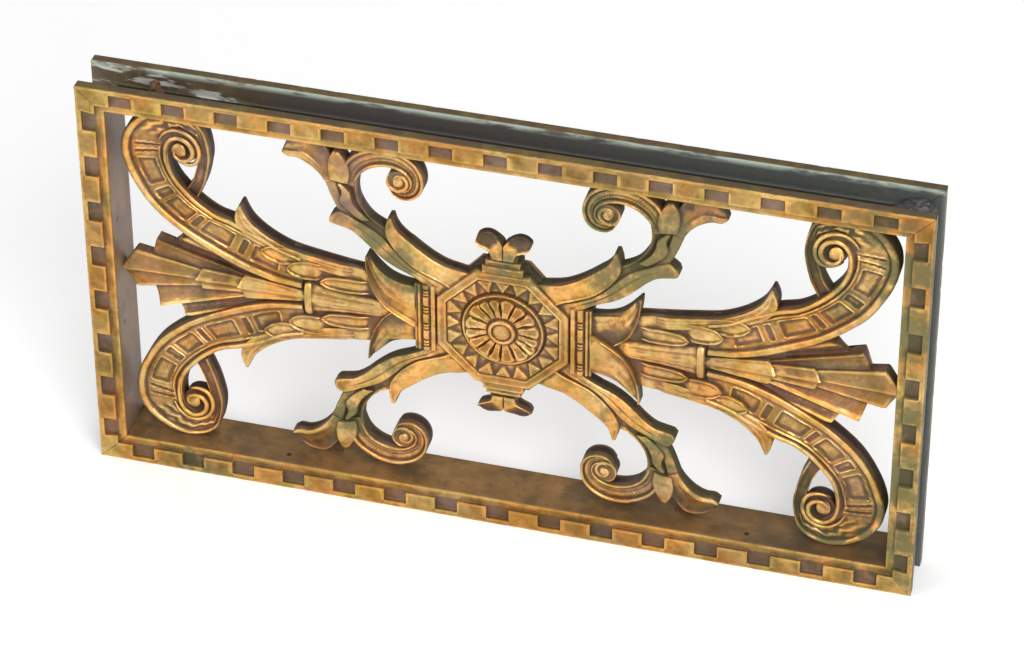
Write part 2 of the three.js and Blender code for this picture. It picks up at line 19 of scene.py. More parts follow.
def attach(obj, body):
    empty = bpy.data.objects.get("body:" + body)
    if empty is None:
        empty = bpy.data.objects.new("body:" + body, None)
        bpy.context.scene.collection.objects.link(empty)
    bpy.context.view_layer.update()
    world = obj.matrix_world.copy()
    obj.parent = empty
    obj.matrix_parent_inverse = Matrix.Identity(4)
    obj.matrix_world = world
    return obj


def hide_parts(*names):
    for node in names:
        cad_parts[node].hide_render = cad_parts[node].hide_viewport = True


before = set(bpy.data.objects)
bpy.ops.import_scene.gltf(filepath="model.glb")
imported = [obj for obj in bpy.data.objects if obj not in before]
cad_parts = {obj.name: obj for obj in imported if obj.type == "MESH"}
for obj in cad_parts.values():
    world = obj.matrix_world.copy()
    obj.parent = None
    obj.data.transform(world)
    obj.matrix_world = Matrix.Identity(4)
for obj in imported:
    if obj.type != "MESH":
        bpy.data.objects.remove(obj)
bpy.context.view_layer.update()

log = logging.getLogger("grille")

Points = Sequence[Sequence[float]]
Profile = Callable[["Spot"], np.ndarray]

MM = 0.001
WIDTH = 570.0
HEIGHT = 305.0
DEPTH = 40.0
BAR_FACE = 18.5
MIDDLE_Z = HEIGHT / 2
CREST_INSET = 15.0
CREST_Y = CREST_INSET - DEPTH / 2
CASTING_BACK = 12.0
STEM_BACK = 10.0
SCALE_BACK = 9.0
BACK_SPREAD = 1.6
BACK_SHARE = 0.618
WALL_ROWS = 3
BEAD_SIDES = 8
SHARP_DEGREES = 48.0


class Slot(Enum):
    """Material slots."""

    FRAME = "frame_bronze"
    CASTING = "casting_bronze"
    RUST = "rusty_steel"
    SOLDER = "old_solder"


class Quarter(Enum):
    """Quarters of the casting, as the signs of X and of the height above the middle."""

    UPPER_LEFT = (-1, 1)
    UPPER_RIGHT = (1, 1)
    LOWER_LEFT = (-1, -1)
    LOWER_RIGHT = (1, -1)


def ramp(low: float, high: float, x: np.ndarray) -> np.ndarray:
    """Smooth step: 0 up to low, 1 from high, and a cubic S between.

    Args:
        low: where the step starts.
        high: where it ends.
        x: values to map.

    Returns:
        Values from 0 to 1.
    """
    t = np.clip((x - low) / (high - low), 0.0, 1.0)
    return t * t * (3.0 - 2.0 * t)


def hump(x: np.ndarray, centre: float, half: float) -> np.ndarray:
    """Round hump of height 1: the square root of 1 minus the squared distance in half-widths.

    Args:
        x: values to map.
        centre: middle of the hump.
        half: half its width.

    Returns:
        Values from 0 to 1.
    """
    return np.sqrt(np.clip(1.0 - ((x - centre) / half) ** 2, 0.0, None))


def edge_drop(distance: np.ndarray, radius: float) -> np.ndarray:
    """Drop of a surface beside an edge that is rounded with a quarter circle.

    Args:
        distance: distance from the edge.
        radius: radius of the quarter circle.

    Returns:
        The drop, radius at the edge and 0 from radius onwards.
    """
    inside = np.clip(radius - distance, 0.0, radius)
    return radius - np.sqrt(radius * radius - inside * inside)


def box_distance(x: np.ndarray, y: np.ndarray, half_x: float, half_y: np.ndarray,
                 corner: float) -> np.ndarray:
    """Distance from a rectangle with round corners, negative inside.

    Args:
        x: place along, from the rectangle's middle.
        y: place across, from its middle.
        half_x: half its length.
        half_y: half its width.
        corner: radius of its corners.

    Returns:
        The distance.
    """
    out_x, out_y = np.abs(x) - half_x + corner, np.abs(y) - half_y + corner
    outside = np.hypot(np.maximum(out_x, 0), np.maximum(out_y, 0))
    return outside + np.minimum(np.maximum(out_x, out_y), 0) - corner


def value_noise(x: np.ndarray, z: np.ndarray, cell: float, seed: int) -> np.ndarray:
    """Value noise: random values on a square lattice, blended with a cubic S between its points.

    Args:
        x: first coordinate.
        z: second coordinate.
        cell: lattice spacing.
        seed: number that fixes the random table.

    Returns:
        Values from -1 to 1.
    """
    size = 64
    table = np.random.default_rng(seed).uniform(-1.0, 1.0, (size, size))
    gx, gz = x / cell, z / cell
    ix, iz = np.floor(gx).astype(int), np.floor(gz).astype(int)
    fx, fz = ramp(0.0, 1.0, gx - ix), ramp(0.0, 1.0, gz - iz)
    near, far = ix % size, (ix + 1) % size
    low, high = iz % size, (iz + 1) % size
    bottom = table[low, near] * (1 - fx) + table[low, far] * fx
    top = table[high, near] * (1 - fx) + table[high, far] * fx
    return bottom * (1 - fz) + top * fz


def curve(points: Points, s: np.ndarray) -> np.ndarray:
    """Centripetal Catmull-Rom curve through points, at shares counted evenly from point to point.

    Args:
        points: control points.
        s: shares from 0 to 1.

    Returns:
        Curve points, one row for each share.
    """
    p = np.asarray(points, float)
    p = np.vstack([2 * p[0] - p[1], p, 2 * p[-1] - p[-2]])
    spans = len(points) - 1
    i = np.clip((s * spans).astype(int), 0, spans - 1)
    t = (s * spans - i)[:, None]
    a, b, c, d = p[i], p[i + 1], p[i + 2], p[i + 3]
    pairs = ((b, a), (c, b), (d, c))
    before, here, after = (np.sqrt(np.linalg.norm(q - r, axis=1))[:, None] for q, r in pairs)
    start = ((b - a) / before - (c - a) / (before + here) + (c - b) / here) * here
    end = ((c - b) / here - (d - b) / (here + after) + (d - c) / after) * here
    return (b + start * t + (3 * (c - b) - 2 * start - end) * t ** 2 + (2 * (b - c) + start + end) * t ** 3)


def grid_faces(index: np.ndarray) -> np.ndarray:
    """Quads between the neighbours of a grid of corner numbers.

    Args:
        index: corner numbers, rows by columns.

    Returns:
        Quads, four corner numbers each.
    """
    corners = [index[:-1, :-1], index[:-1, 1:], index[1:, 1:], index[1:, :-1]]
    return np.stack(corners, -1).reshape(-1, 4)


def run_length(points: np.ndarray) -> np.ndarray:
    """Length of a line of points up to each of them: the running sum of the steps between neighbours."""
    return np.concatenate([[0], np.cumsum(np.linalg.norm(np.diff(points, axis=0), axis=1))])


def tube_faces(stations: int, ring: int) -> list[np.ndarray]:
    """Faces of a tube: quads between its rings of points, and one many-sided cap at each end.

    Args:
        stations: number of rings.
        ring: points in a ring.

    Returns:
        The quads, then the two caps.
    """
    index = np.arange(stations * ring).reshape(stations, ring)
    caps = [index[0][None], index[-1, ::-1][None]]
    index = np.hstack([index, index[:, :1]])
    sides = np.stack([index[:-1, :-1], index[1:, :-1], index[1:, 1:], index[:-1, 1:]], -1)
    return [sides.reshape(-1, 4), *caps]


@dataclass
class Shell:
    """One closed surface: corner points, and faces grouped by their number of corners."""

    points: np.ndarray
    faces: list[np.ndarray]

    def volume(self) -> float:
        """Signed volume: the sum over a fan of triangles of each face of the triple product, over 6."""
        total = 0.0
        for block in self.faces:
            first = self.points[block[:, 0]]
            for k in range(1, block.shape[1] - 1):
                second, third = self.points[block[:, k]], self.points[block[:, k + 1]]
                total += np.einsum("ij,ij->", first, np.cross(second, third)) / 6.0
        return total

    def set_back(self, shift: float) -> None:
        """Moves the flat back towards the rear, so that no two backs that overlap share one plane.

        Args:
            shift: distance in millimetres.
        """
        back = self.points[:, 1] > self.points[:, 1].max() - 0.001
        self.points[back, 1] += shift

    def faced_out(self) -> "Shell":
        """The same surface with its faces pointing outwards."""
        if self.volume() >= 0:
            return self
        return Shell(self.points, [block[:, ::-1] for block in self.faces])

    def placed(self, quarter: Quarter) -> "Shell":
        """The surface taken from the drawing's first quarter to one of the four.

        Args:
            quarter: where it goes.

        Returns:
            A new surface in panel coordinates.
        """
        side, level = quarter.value
        points = self.points * (side, 1, level) + (0, 0, MIDDLE_Z)
        return Shell(points, self.faces).faced_out()


@dataclass
class Spot:
    """Where the front points of a ribbon lie, as shares and in millimetres."""

    s: np.ndarray
    t: np.ndarray
    along: np.ndarray
    left: np.ndarray
    right: np.ndarray
    width: np.ndarray


def walls(rim: np.ndarray, back: float) -> np.ndarray:
    """Rows of points that run straight back from a rim, evenly spaced, the last one on the back.

    Args:
        rim: points of the rim.
        back: Y of the back.

    Returns:
        The rows, each as long as the rim.
    """
    rows = np.repeat(rim[None], WALL_ROWS, axis=0)
    rows[..., 1] += (back - rows[..., 1]) * np.linspace(0, 1, WALL_ROWS + 1)[1:, None]
    return rows


def slab(front: np.ndarray, back: float) -> Shell:
    """Closed body: a front grid, straight walls round its border and a flat back.

    Args:
        front: front points, stations by columns by 3.
        back: Y of the back.

    Returns:
        The closed surface.
    """
    stations, columns = front.shape[:2]
    index = np.arange(stations * columns).reshape(stations, columns)
    loop = np.concatenate([index[:, 0], index[-1, 1:], index[-2::-1, -1], index[0, -2:0:-1]])
    flat = front.reshape(-1, 3)
    wall = walls(flat[loop], back)
    rings = np.vstack([loop, index.size + np.arange(WALL_ROWS * len(loop)).reshape(WALL_ROWS, -1)])
    rings = np.hstack([rings, rings[:, :1]])
    low = rings[-1, :-1]
    far_start = stations + columns - 2
    one, other = low[:stations], low[far_start:far_start + stations][::-1]
    inner = np.stack([one[1:-2], one[2:-1], other[2:-1], other[1:-2]], -1)
    first = np.concatenate([one[:2], other[1::-1], low[far_start + stations:]])
    last = np.concatenate([one[-2:], low[stations:far_start], other[-1:-3:-1]])
    points = np.vstack([flat, wall.reshape(-1, 3)])
    return Shell(points, [grid_faces(index), grid_faces(rings), inner, first[None], last[None]]).faced_out()


def to_space(uw: np.ndarray, sink: np.ndarray) -> np.ndarray:
    """Drawing points with their sinks, as points in space about mid-height."""
    return np.stack([uw[..., 0], CREST_Y + sink, uw[..., 1]], -1)


def ribbon(outer: Points, inner: Points, profile: Profile, back: float, step: float = 0.9, columns: int = 26,
           rounding: float = 0.9, ends: tuple[float, float] = (0.0, 0.9), rough: float = 0.19,
           seed: int = 1) -> Shell:
    """Body between two edges that run in step, with a carved front and a flat back.

    The front point at shares s and t is outer(s) + t (inner(s) - outer(s)), sunk by the profile, by the
    rounding of its edges and by a little noise. Stations are even along the middle line, and columns crowd
    towards the edges by a cosine.

    Args:
        outer: control points of the edge at t = 0.
        inner: control points of the edge at t = 1.
        profile: sink for each spot.
        back: sink of the back.
        step: distance between stations.
        columns: points across.
        rounding: radius of the long edges.
        ends: radii of the edges at the start and the end.
        rough: height of the casting's unevenness.
        seed: number that fixes the noise.

    Returns:
        The closed surface in the drawing's first quarter.
    """
    fine = np.linspace(0, 1, 600)
    middle = (curve(outer, fine) + curve(inner, fine)) / 2
    run = run_length(middle)
    length = float(run[-1])
    stations = max(8, int(length / step))
    s = np.interp(np.linspace(0, length, stations), run, fine)
    a, b = curve(outer, s), curve(inner, s)
    t = 0.5 - 0.5 * np.cos(np.linspace(0, math.pi, columns))
    t = 0.55 * t + 0.45 * np.linspace(0, 1, columns)
    uw = a[:, None] + (b - a)[:, None] * t[None, :, None]
    width = np.linalg.norm(b - a, axis=1)[:, None] * np.ones((1, columns))
    along = np.linspace(0, length, stations)[:, None] * np.ones((1, columns))
    shares = s[:, None] * np.ones((1, columns))
    across = np.ones((stations, 1)) * t
    spot = Spot(shares, across, along, across * width, (1 - across) * width, width)
    sink = profile(spot) + edge_drop(spot.left, rounding) + edge_drop(spot.right, rounding)
    for radius, distance in zip(ends, (along, length - along)):
        if radius > 0:
            sink = sink + edge_drop(distance, radius)
    sink = sink + rough * value_noise(uw[..., 0], uw[..., 1], 4.6, seed)
    sink = sink + 0.5 * rough * value_noise(uw[..., 0], uw[..., 1], 1.7, seed + 1)
    return slab(to_space(uw, np.minimum(sink, back - 0.5)), CREST_Y + back)


def folded(lines: Sequence[tuple], back: float, hollow: float = 0.5, rounding: float = 0.7,
           columns: int = 40, rows_per_fold: int = 8, seed: int = 2) -> Shell:
    """Leaf folded along lines that fan out from root to tip, with slightly hollow facets.

    Between two lines the place and the sink are blended evenly, and the hollow adds 4 f (1 - f) of its depth
    at share f of the way across the facet, growing towards the tip.

    Args:
        lines: for each line its root (u, w), its tip (u, w), its root sink and its tip sink.
        back: sink of the back.
        hollow: depth of the hollow of a facet at the tip.
        rounding: radius of the edges.
        columns: points from root to tip.
        rows_per_fold: points across a facet.
        seed: number that fixes the noise.

    Returns:
        The closed surface in the drawing's first quarter.
    """
    count = len(lines) - 1
    place = np.linspace(0, count, count * rows_per_fold + 1)
    i = np.minimum(place.astype(int), count - 1)
    f = (place - i)[:, None]
    root, tip = (np.array([line[k] for line in lines], float) for k in (0, 1))
    depth = np.array([line[2:4] for line in lines], float)
    root, tip, depth = (v[i] * (1 - f) + v[i + 1] * f for v in (root, tip, depth))
    t = np.linspace(0, 1, columns)[None, :, None]
    uw = root[:, None] * (1 - t) + tip[:, None] * t
    t, f = t[..., 0], f * np.ones((1, columns))
    wide = np.linalg.norm(np.diff([line[1] for line in lines], axis=0), axis=1)[i][:, None]
    dip = hollow * ramp(1.5, 6.0, wide) * 4 * f * (1 - f)
    sink = depth[:, :1] * (1 - t) + depth[:, 1:] * t + dip * ramp(0.0, 0.5, t)
    spread = np.linalg.norm(uw - uw[:1], axis=2), np.linalg.norm(uw - uw[-1:], axis=2)
    reach = np.linalg.norm(tip - root, axis=1)[:, None] * (1 - t)
    for distance in (*spread, reach):
        sink = sink + edge_drop(distance, rounding)
    sink = sink + 0.12 * value_noise(uw[..., 0], uw[..., 1], 3.0, seed)
    return slab(to_space(uw, sink), CREST_Y + back)


def panel_block(box: Sequence[float], sink: Callable[[np.ndarray, np.ndarray], np.ndarray], back: float,
                step: float = 0.8, rounding: float = 0.7, taper: float = 0.0, seed: int = 3) -> Shell:
    """Upright block whose front is a height field over a rectangle of the drawing.

    Args:
        box: lowest and highest u, then lowest and highest w.
        sink: sink for arrays of u and w.
        back: sink of the back.
        step: distance between points.
        rounding: radius of the front edges.
        taper: how much each side draws in towards high w, as a share.
        seed: number that fixes the noise.

    Returns:
        The closed surface.
    """
    u0, u1, w0, w1 = box
    w, u = np.meshgrid(np.linspace(w0, w1, max(6, int((w1 - w0) / step))),
                       np.linspace(u0, u1, max(6, int((u1 - u0) / step))), indexing="ij")
    centre = (u0 + u1) / 2
    drawn = centre + (u - centre) * (1 - taper * (w - w0) / (w1 - w0))
    depth = sink(u, w) + 0.1 * value_noise(u, w, 2.5, seed)
    for distance in (u - u0, u1 - u, w - w0, w1 - w):
        depth = depth + edge_drop(distance, rounding)
    return slab(to_space(np.stack([drawn, w], -1), depth), CREST_Y + back)


def disc(centre: Sequence[float], rim: Callable[[np.ndarray], np.ndarray],
         sink: Callable[[np.ndarray, np.ndarray], np.ndarray], back: float, rings: int, spokes: int) -> Shell:
    """Round or many-sided boss: a polar height field with a wall and a flat back.

    The point at share q and angle a lies at radius q times rim(a) from the centre.

    Args:
        centre: u and w of the middle.
        rim: outline radius for each angle.
        sink: sink for arrays of radius and angle.
        back: sink of the back.
        rings: points from the middle to the rim.
        spokes: points around.

    Returns:
        The closed surface.
    """
    angle = np.arange(spokes) * 2 * math.pi / spokes
    share = np.linspace(0, 1, rings + 1)[1:, None]
    radius = share * rim(angle)
    a = np.ones((rings, 1)) * angle
    uw = np.stack([centre[0] + radius * np.cos(a), centre[1] + radius * np.sin(a)], -1)
    front = to_space(uw, sink(radius, a))
    body = np.vstack([front, walls(front[-1], CREST_Y + back)])
    index = np.arange(body.shape[0] * spokes).reshape(-1, spokes)
    index = np.hstack([index, index[:, :1]])
    middle = to_space(np.array(centre, float), sink(np.zeros(1), np.zeros(1))[0])
    heart = index.max() + 1
    fan = np.stack([np.full(spokes, heart), index[0, 1:], index[0, :-1]], -1)
    bottom = index[-1, :-1][None]
    return Shell(np.vstack([body.reshape(-1, 3), middle]), [fan, grid_faces(index), bottom]).faced_out()


def cord_round(path: np.ndarray, radius: np.ndarray) -> Shell:
    """Round bead of metal carried along a path: a circle of the given radius at each point of it.

    Args:
        path: points in space.
        radius: radius at each point.

    Returns:
        The closed surface.
    """
    heading = np.gradient(path, axis=0)
    heading /= np.linalg.norm(heading, axis=1, keepdims=True)
    one = np.cross(heading, (0.0, 1.0, 0.0))
    one /= np.linalg.norm(one, axis=1, keepdims=True)
    two = np.cross(heading, one)
    a = np.arange(BEAD_SIDES) * 2 * math.pi / BEAD_SIDES
    ring = one[:, None] * np.cos(a)[None, :, None] + two[:, None] * np.sin(a)[None, :, None]
    body = path[:, None] + ring * radius[:, None, None]
    return Shell(body.reshape(-1, 3), tube_faces(len(path), BEAD_SIDES)).faced_out()


def bead_line(points: Points, sinks: Sequence[float], radius: float, count: int = 60) -> Shell:
    """Raised line along a drawn curve, thinner at both ends.

    Args:
        points: control points (u, w).
        sinks: sink at each control point.
        radius: radius at the middle.
        count: points along it.

    Returns:
        The closed surface.
    """
    s = np.linspace(0, 1, count)
    uw = curve(points, s)
    sink = np.interp(s, np.linspace(0, 1, len(sinks)), sinks)
    return cord_round(to_space(uw, sink), radius * (0.25 + 0.75 * np.sin(math.pi * s) ** 0.5))


EIGHTH = math.pi / 4


@dataclass
class Medallion:
    """Octagonal medallion: bevelled border, ring of teeth, and a rosette of petals round a button."""

    half: float = 45.5
    border_inner: float = 38.0
    floor: float = 2.6
    moulding: tuple = ((38.0, 2.6), (38.5, 0.2), (38.9, -0.6), (39.5, -0.7), (40.2, 0.0), (43.4, -0.2),
                       (43.9, -0.7), (44.5, -0.6), (45.0, 0.8), (45.5, 3.2))
    teeth: int = 20
    tooth_point: float = 29.5
    rosette: float = 28.0
    petals: int = 16
    petal_tip: float = 25.4
    button: float = 9.4

    def off_centre(self, angle: np.ndarray) -> np.ndarray:
        """Angle from the middle of the octagon side that an angle falls on."""
        return (angle + EIGHTH / 2) % EIGHTH - EIGHTH / 2

    def tooth_height(self, radius: np.ndarray, angle: np.ndarray) -> np.ndarray:
        """Height share of the teeth: triangles with their base on the border and their point on the rosette.

        A tooth covers the angles whose distance from its middle line, along the arc, is less than the half
        width, which grows in step with the radius from nothing at the point.

        Args:
            radius: distance from the middle.
            angle: direction.

        Returns:
            0 on the floor and 1 on a tooth.
        """
        pitch = 2 * math.pi / self.teeth
        arc = np.abs((angle + pitch / 2) % pitch - pitch / 2) * radius
        border = (self.border_inner + 0.5) / np.cos(self.off_centre(angle))
        half = 0.46 * pitch * border * (radius - self.tooth_point) / (border - self.tooth_point)
        return ramp(-0.35, 0.45, half - arc)

    def rosette_sink(self, radius: np.ndarray, angle: np.ndarray) -> np.ndarray:
        """Sink of the rosette: fluted petals with swollen tips, slots between them, and the button.

        Args:
            radius: distance from the middle.
            angle: direction.

        Returns:
            The sink.
        """
        pitch = 2 * math.pi / self.petals
        uneven = angle + 0.05 * np.sin(3 * angle + 1.0) + 0.035 * np.sin(5 * angle + 2.2)
        number = np.floor(uneven / pitch) % self.petals
        across = ((uneven % pitch) - pitch / 2) / (pitch / 2)
        edge = np.abs(across)
        arc = (1 - edge) * radius * pitch / 2
        outline = self.petal_tip + 0.5 * np.sin(number * 2.4) - 1.9 * edge ** 2.2
        body = -0.9 - 0.9 * hump(radius, 21.6, 5.2)
        hollow = 1.0 * hump(across, 0.12 * np.sin(number * 3.7), 0.52) * ramp(14.0, 19.0, radius)
        hollow = hollow * ramp(outline - 0.6, outline - 2.2, radius)
        rib = 0.45 * hump(across, 0.0, 0.15) * ramp(11.5, 13.0, radius) * ramp(21.5, 17.0, radius)
        slot_half = (0.5 + 0.3 * np.sin(number * 1.9)) * ramp(11.5, 18.0, radius)
        slot_half = 0.2 + slot_half * ramp(22.6, 20.0, radius)
        slot = 3.4 * ramp(slot_half + 0.5, slot_half - 0.35, arc) * ramp(10.6, 12.6, radius)
        slot = slot * ramp(23.6, 21.6, radius)
        shallow = 1.1 * ramp(0.9, 0.0, arc) * ramp(21.0, 22.5, radius)
        petal = body + hollow - rib + slot + shallow
        rim = 1.0 - 0.8 * hump(radius, 27.1, 0.75)
        sink = np.where(radius > outline, rim, petal)
        sink = sink + 1.1 * hump(radius, 9.9, 0.9)
        ring = -2.3 - 0.9 * hump(radius, 7.9, 1.35) + 0.7 * hump(radius, 6.3, 0.6)
        dome = -2.2 - 1.5 * hump(radius, 0.0, 6.0)
        knob = np.where(radius > 6.2, ring, dome)
        return np.where(radius < self.button, knob, sink)

    def sink(self, radius: np.ndarray, angle: np.ndarray) -> np.ndarray:
        """Sink of the whole front.

        Args:
            radius: distance from the middle.
            angle: direction.

        Returns:
            The sink.
        """
        side = radius * np.cos(self.off_centre(angle))
        teeth = self.floor - 2.1 * self.tooth_height(radius, angle)
        border = np.interp(side, *zip(*self.moulding))
        outer = np.where(side > self.border_inner, border, teeth)
        outer = np.where(radius < 29.6, self.floor + 1.3 * hump(radius, 28.7, 0.95), outer)
        front = np.where(radius < self.rosette, self.rosette_sink(radius, angle), outer)
        u, w = radius * np.cos(angle), radius * np.sin(angle)
        return front + 0.1 * value_noise(u, w, 2.4, 11) + 0.05 * value_noise(u, w, 1.1, 12)

    def shells(self) -> list[Shell]:
        """The medallion as one polar height field."""
        def rim(angle: np.ndarray) -> np.ndarray:
            """Octagon outline."""
            return self.half / np.cos(self.off_centre(angle))
        return [disc((0, 0), rim, self.sink, CASTING_BACK, 100, 380)]


@dataclass
class Pediment:
    """Stepped pediment with its two-lobed fleuron, above or below the medallion."""

    steps: tuple = ((14.0, 40.0, 50.3, 0.3), (12.0, 49.0, 54.5, 1.5), (9.5, 53.0, 58.8, 3.0))
    lobe_outer: tuple = ((0.0, 56), (0.2, 62), (0.4, 67), (5, 71.5), (10, 73.8), (15, 73), (18.4, 70.2))
    lobe_inner: tuple = ((7.4, 56), (8, 58.4), (9, 60.6), (11.4, 62.4), (14.4, 63.8), (17, 65.2), (18.7, 68))

    def lobe(self, side: int, seed: int) -> Shell:
        """One lobe of the fleuron: a scooped leaf with a thin rim.

        Args:
            side: 1 for the right lobe and -1 for the left.
            seed: number that fixes the noise.

        Returns:
            The closed surface.
        """
        def scoop(spot: Spot) -> np.ndarray:
            """Flat neck, then a hollow that falls back from the thin lower rim to the outer edge."""
            reach = ramp(0.3, 0.62, spot.s)
            far = 1 - spot.t
            rim = 0.9 * hump(spot.right, 0.9, 1.0)
            hollow = 5.4 * far ** 0.8 + 1.6 * hump(far, 0.5, 0.5) * ramp(0.8, 2.0, spot.left)
            return 0.9 + reach * (hollow - rim)
        flip = np.array([side, 1.0])
        outer, inner = np.array(self.lobe_outer) * flip, np.array(self.lobe_inner) * flip
        return ribbon(outer, inner, scoop, STEM_BACK, step=0.5, columns=30, ends=(0, 0.8), seed=seed)

    def shells(self) -> list[Shell]:
        """Shoulders, three steps and two lobes."""
        def shoulder(u: np.ndarray, w: np.ndarray) -> np.ndarray:
            """Flat, falling back a little upwards."""
            return 5.0 + 0.12 * (w - 38)
        blocks = [panel_block((-28, 28, 38, 51.2), shoulder, CASTING_BACK, taper=0.42)]
        for half, low, high, sink in self.steps:
            def moulded(u: np.ndarray, w: np.ndarray, sink: float = sink, high: float = high) -> np.ndarray:
                """A flat step with a quirk line below its upper edge."""
                return sink + 0.5 * hump(w, high - 2.2, 0.5) + 0.25 * hump(w, high - 3.4, 0.6)
            blocks.append(panel_block((-half, half, low, high), moulded, CASTING_BACK, step=0.5))
        return blocks + [self.lobe(1, 21), self.lobe(-1, 23)]


@dataclass
class Collar:
    """Collar beside the medallion: upright fillets and a strip of beads and reels."""

    inner: float = 43.0
    outer: float = 60.5
    half: float = 26.5
    strip: float = 52.8
    pitch: float = 13.6
    shift: float = 6.0
    fillets: tuple = ((43, 3.2), (46.1, 3.0), (46.5, 0.5), (47.0, 0.4), (49.0, 0.4), (49.5, 1.0), (50.1, 2.2),
                      (55.6, 2.2), (56.2, 1.4), (56.6, 0.4), (58.0, 0.4), (58.4, 1.4), (58.9, 1.4),
                      (59.4, 0.5), (60.5, 0.8))

    def sink(self, u: np.ndarray, w: np.ndarray) -> np.ndarray:
        """Fillets by distance from the middle, and beads as round humps along the strip.

        Args:
            u: distance from the panel's middle.
            w: height above the middle.

        Returns:
            The sink.
        """
        base = np.interp(u, *zip(*self.fillets))
        offset = ((w - self.shift) / self.pitch) % 1.0
        bead_half = (self.pitch - 5.4) / 2
        bead = hump((offset - 0.5) * self.pitch, 0, bead_half) ** 0.7 * hump(u, self.strip, 2.6)
        reel_place = np.minimum(offset, 1 - offset) * self.pitch
        reel = hump(reel_place, 1.15, 0.95) ** 0.7 * hump(u, self.strip, 2.3)
        return base - 2.5 * bead - 2.1 * reel

    def shells(self) -> list[Shell]:
        """The collar of the right side."""
        box = (self.inner, self.outer, -self.half, self.half)
        return [panel_block(box, self.sink, CASTING_BACK, step=0.34, rounding=0.5)]


@dataclass
class Calyx:
    """Calyx of two crossed leaves and the bell-shaped husk that grows out of it."""

    outer: tuple = ((60, 23), (70, 24.3), (78, 27.3), (84, 32), (88.5, 37), (91, 40), (92.4, 41.8))
    inner: tuple = ((60, -8), (72, -2), (81, 4.5), (87, 12.5), (91, 22.5), (93.3, 34), (93.9, 41.8))
    husk_edge: tuple = ((72, 6.2), (84, 6.9), (100, 7.8), (116, 9.4), (133, 12))
    ring_edge: tuple = ((131.6, 12.2), (134.4, 13.2), (137.2, 12.2))
    root_along: tuple = (60, 80, 100, 120, 142, 165, 190)
    root_edge: tuple = ((60, 22), (80, 25.5), (98, 29.8), (118, 30.8), (142, 33.5), (165, 30), (190, 22))

    def leaf(self, lift: float, seed: int, covered: float = 0.0) -> Shell:
        """One leaf: bowed across, hollow behind a thin lip, with three faint veins.

        Args:
            lift: sink of the whole leaf.
            covered: how much deeper the leaf lies near its root, where the other one crosses it.
            seed: number that fixes the noise.

        Returns:
            The closed surface.
        """
        def blade(spot: Spot) -> np.ndarray:
            """Lip along the free edge, a hollow behind it and veins that follow the leaf."""
            under = covered * ramp(0.5, 0.3, spot.s)
            lip = under - 1.0 * hump(spot.right, 0.8, 0.9)
            hollow = 1.9 * ramp(0.7, 3.2, spot.right) * ramp(19, 6, spot.right)
            fall = 1.8 * ramp(0.3, 0.0, spot.t) * (1 - 0.5 * spot.s)
            veins = 0.3 * np.cos(spot.t * 15 + spot.s * 3) * ramp(0.0, 0.4, spot.s) * ramp(0.05, 0.2, spot.t)
            return lift + lip + hollow + fall + veins * ramp(1.5, 4, spot.right)
        return ribbon(self.outer, self.inner, blade, STEM_BACK, step=0.7, columns=37, rounding=0.7,
                      seed=seed)

    def husk(self) -> list[Shell]:
        """Bell with a ridge along its middle, ending in a rounded ring."""
        def bell(spot: Spot) -> np.ndarray:
            """Half-round section with a ridge at the middle and a groove on each side of it."""
            off = np.abs(spot.t - 0.5) * 2
            flutes = 0.45 * hump(off, 0.5, 0.12) - 0.6 * hump(off, 0.0, 0.13)
            fall = 5.0 * ramp(0.3, 0.04, spot.s)
            return 3.9 - 4.4 * hump(off, 0.0, 1.0) + flutes * ramp(0.2, 0.4, spot.s) + fall

        def ring(spot: Spot) -> np.ndarray:
            """The same half-round section, swollen along its length."""
            off = np.abs(spot.t - 0.5) * 2
            return 3.2 - 4.4 * hump(off, 0.0, 1.0) - 1.1 * hump(spot.s, 0.5, 0.5)
        made = []
        for edge, profile, step, end in ((self.husk_edge, bell, 0.81, 0), (self.ring_edge, ring, 0.46, 0.8)):
            mirrored = [(u, -w) for u, w in edge]
            made.append(ribbon(edge, mirrored, profile, STEM_BACK, step=step, columns=34, ends=(end, end)))
        return made

    def root(self) -> Shell:
        """Plate that carries the husk, both stems and the fan, upper half."""
        def plain(spot: Spot) -> np.ndarray:
            """Nearly flat, deeper under the fan."""
            edge = 1.2 * ramp(0.25, 1.0, spot.t) * ramp(0.7, 0.3, spot.s)
            return 4.2 + 2.3 * ramp(0.6, 1.0, spot.s) - edge
        middle = [(u, -1) for u in self.root_along]
        return ribbon(middle, self.root_edge, plain, STEM_BACK, step=1.2, columns=17, rounding=1.2,
                      ends=(0, 0), seed=31)


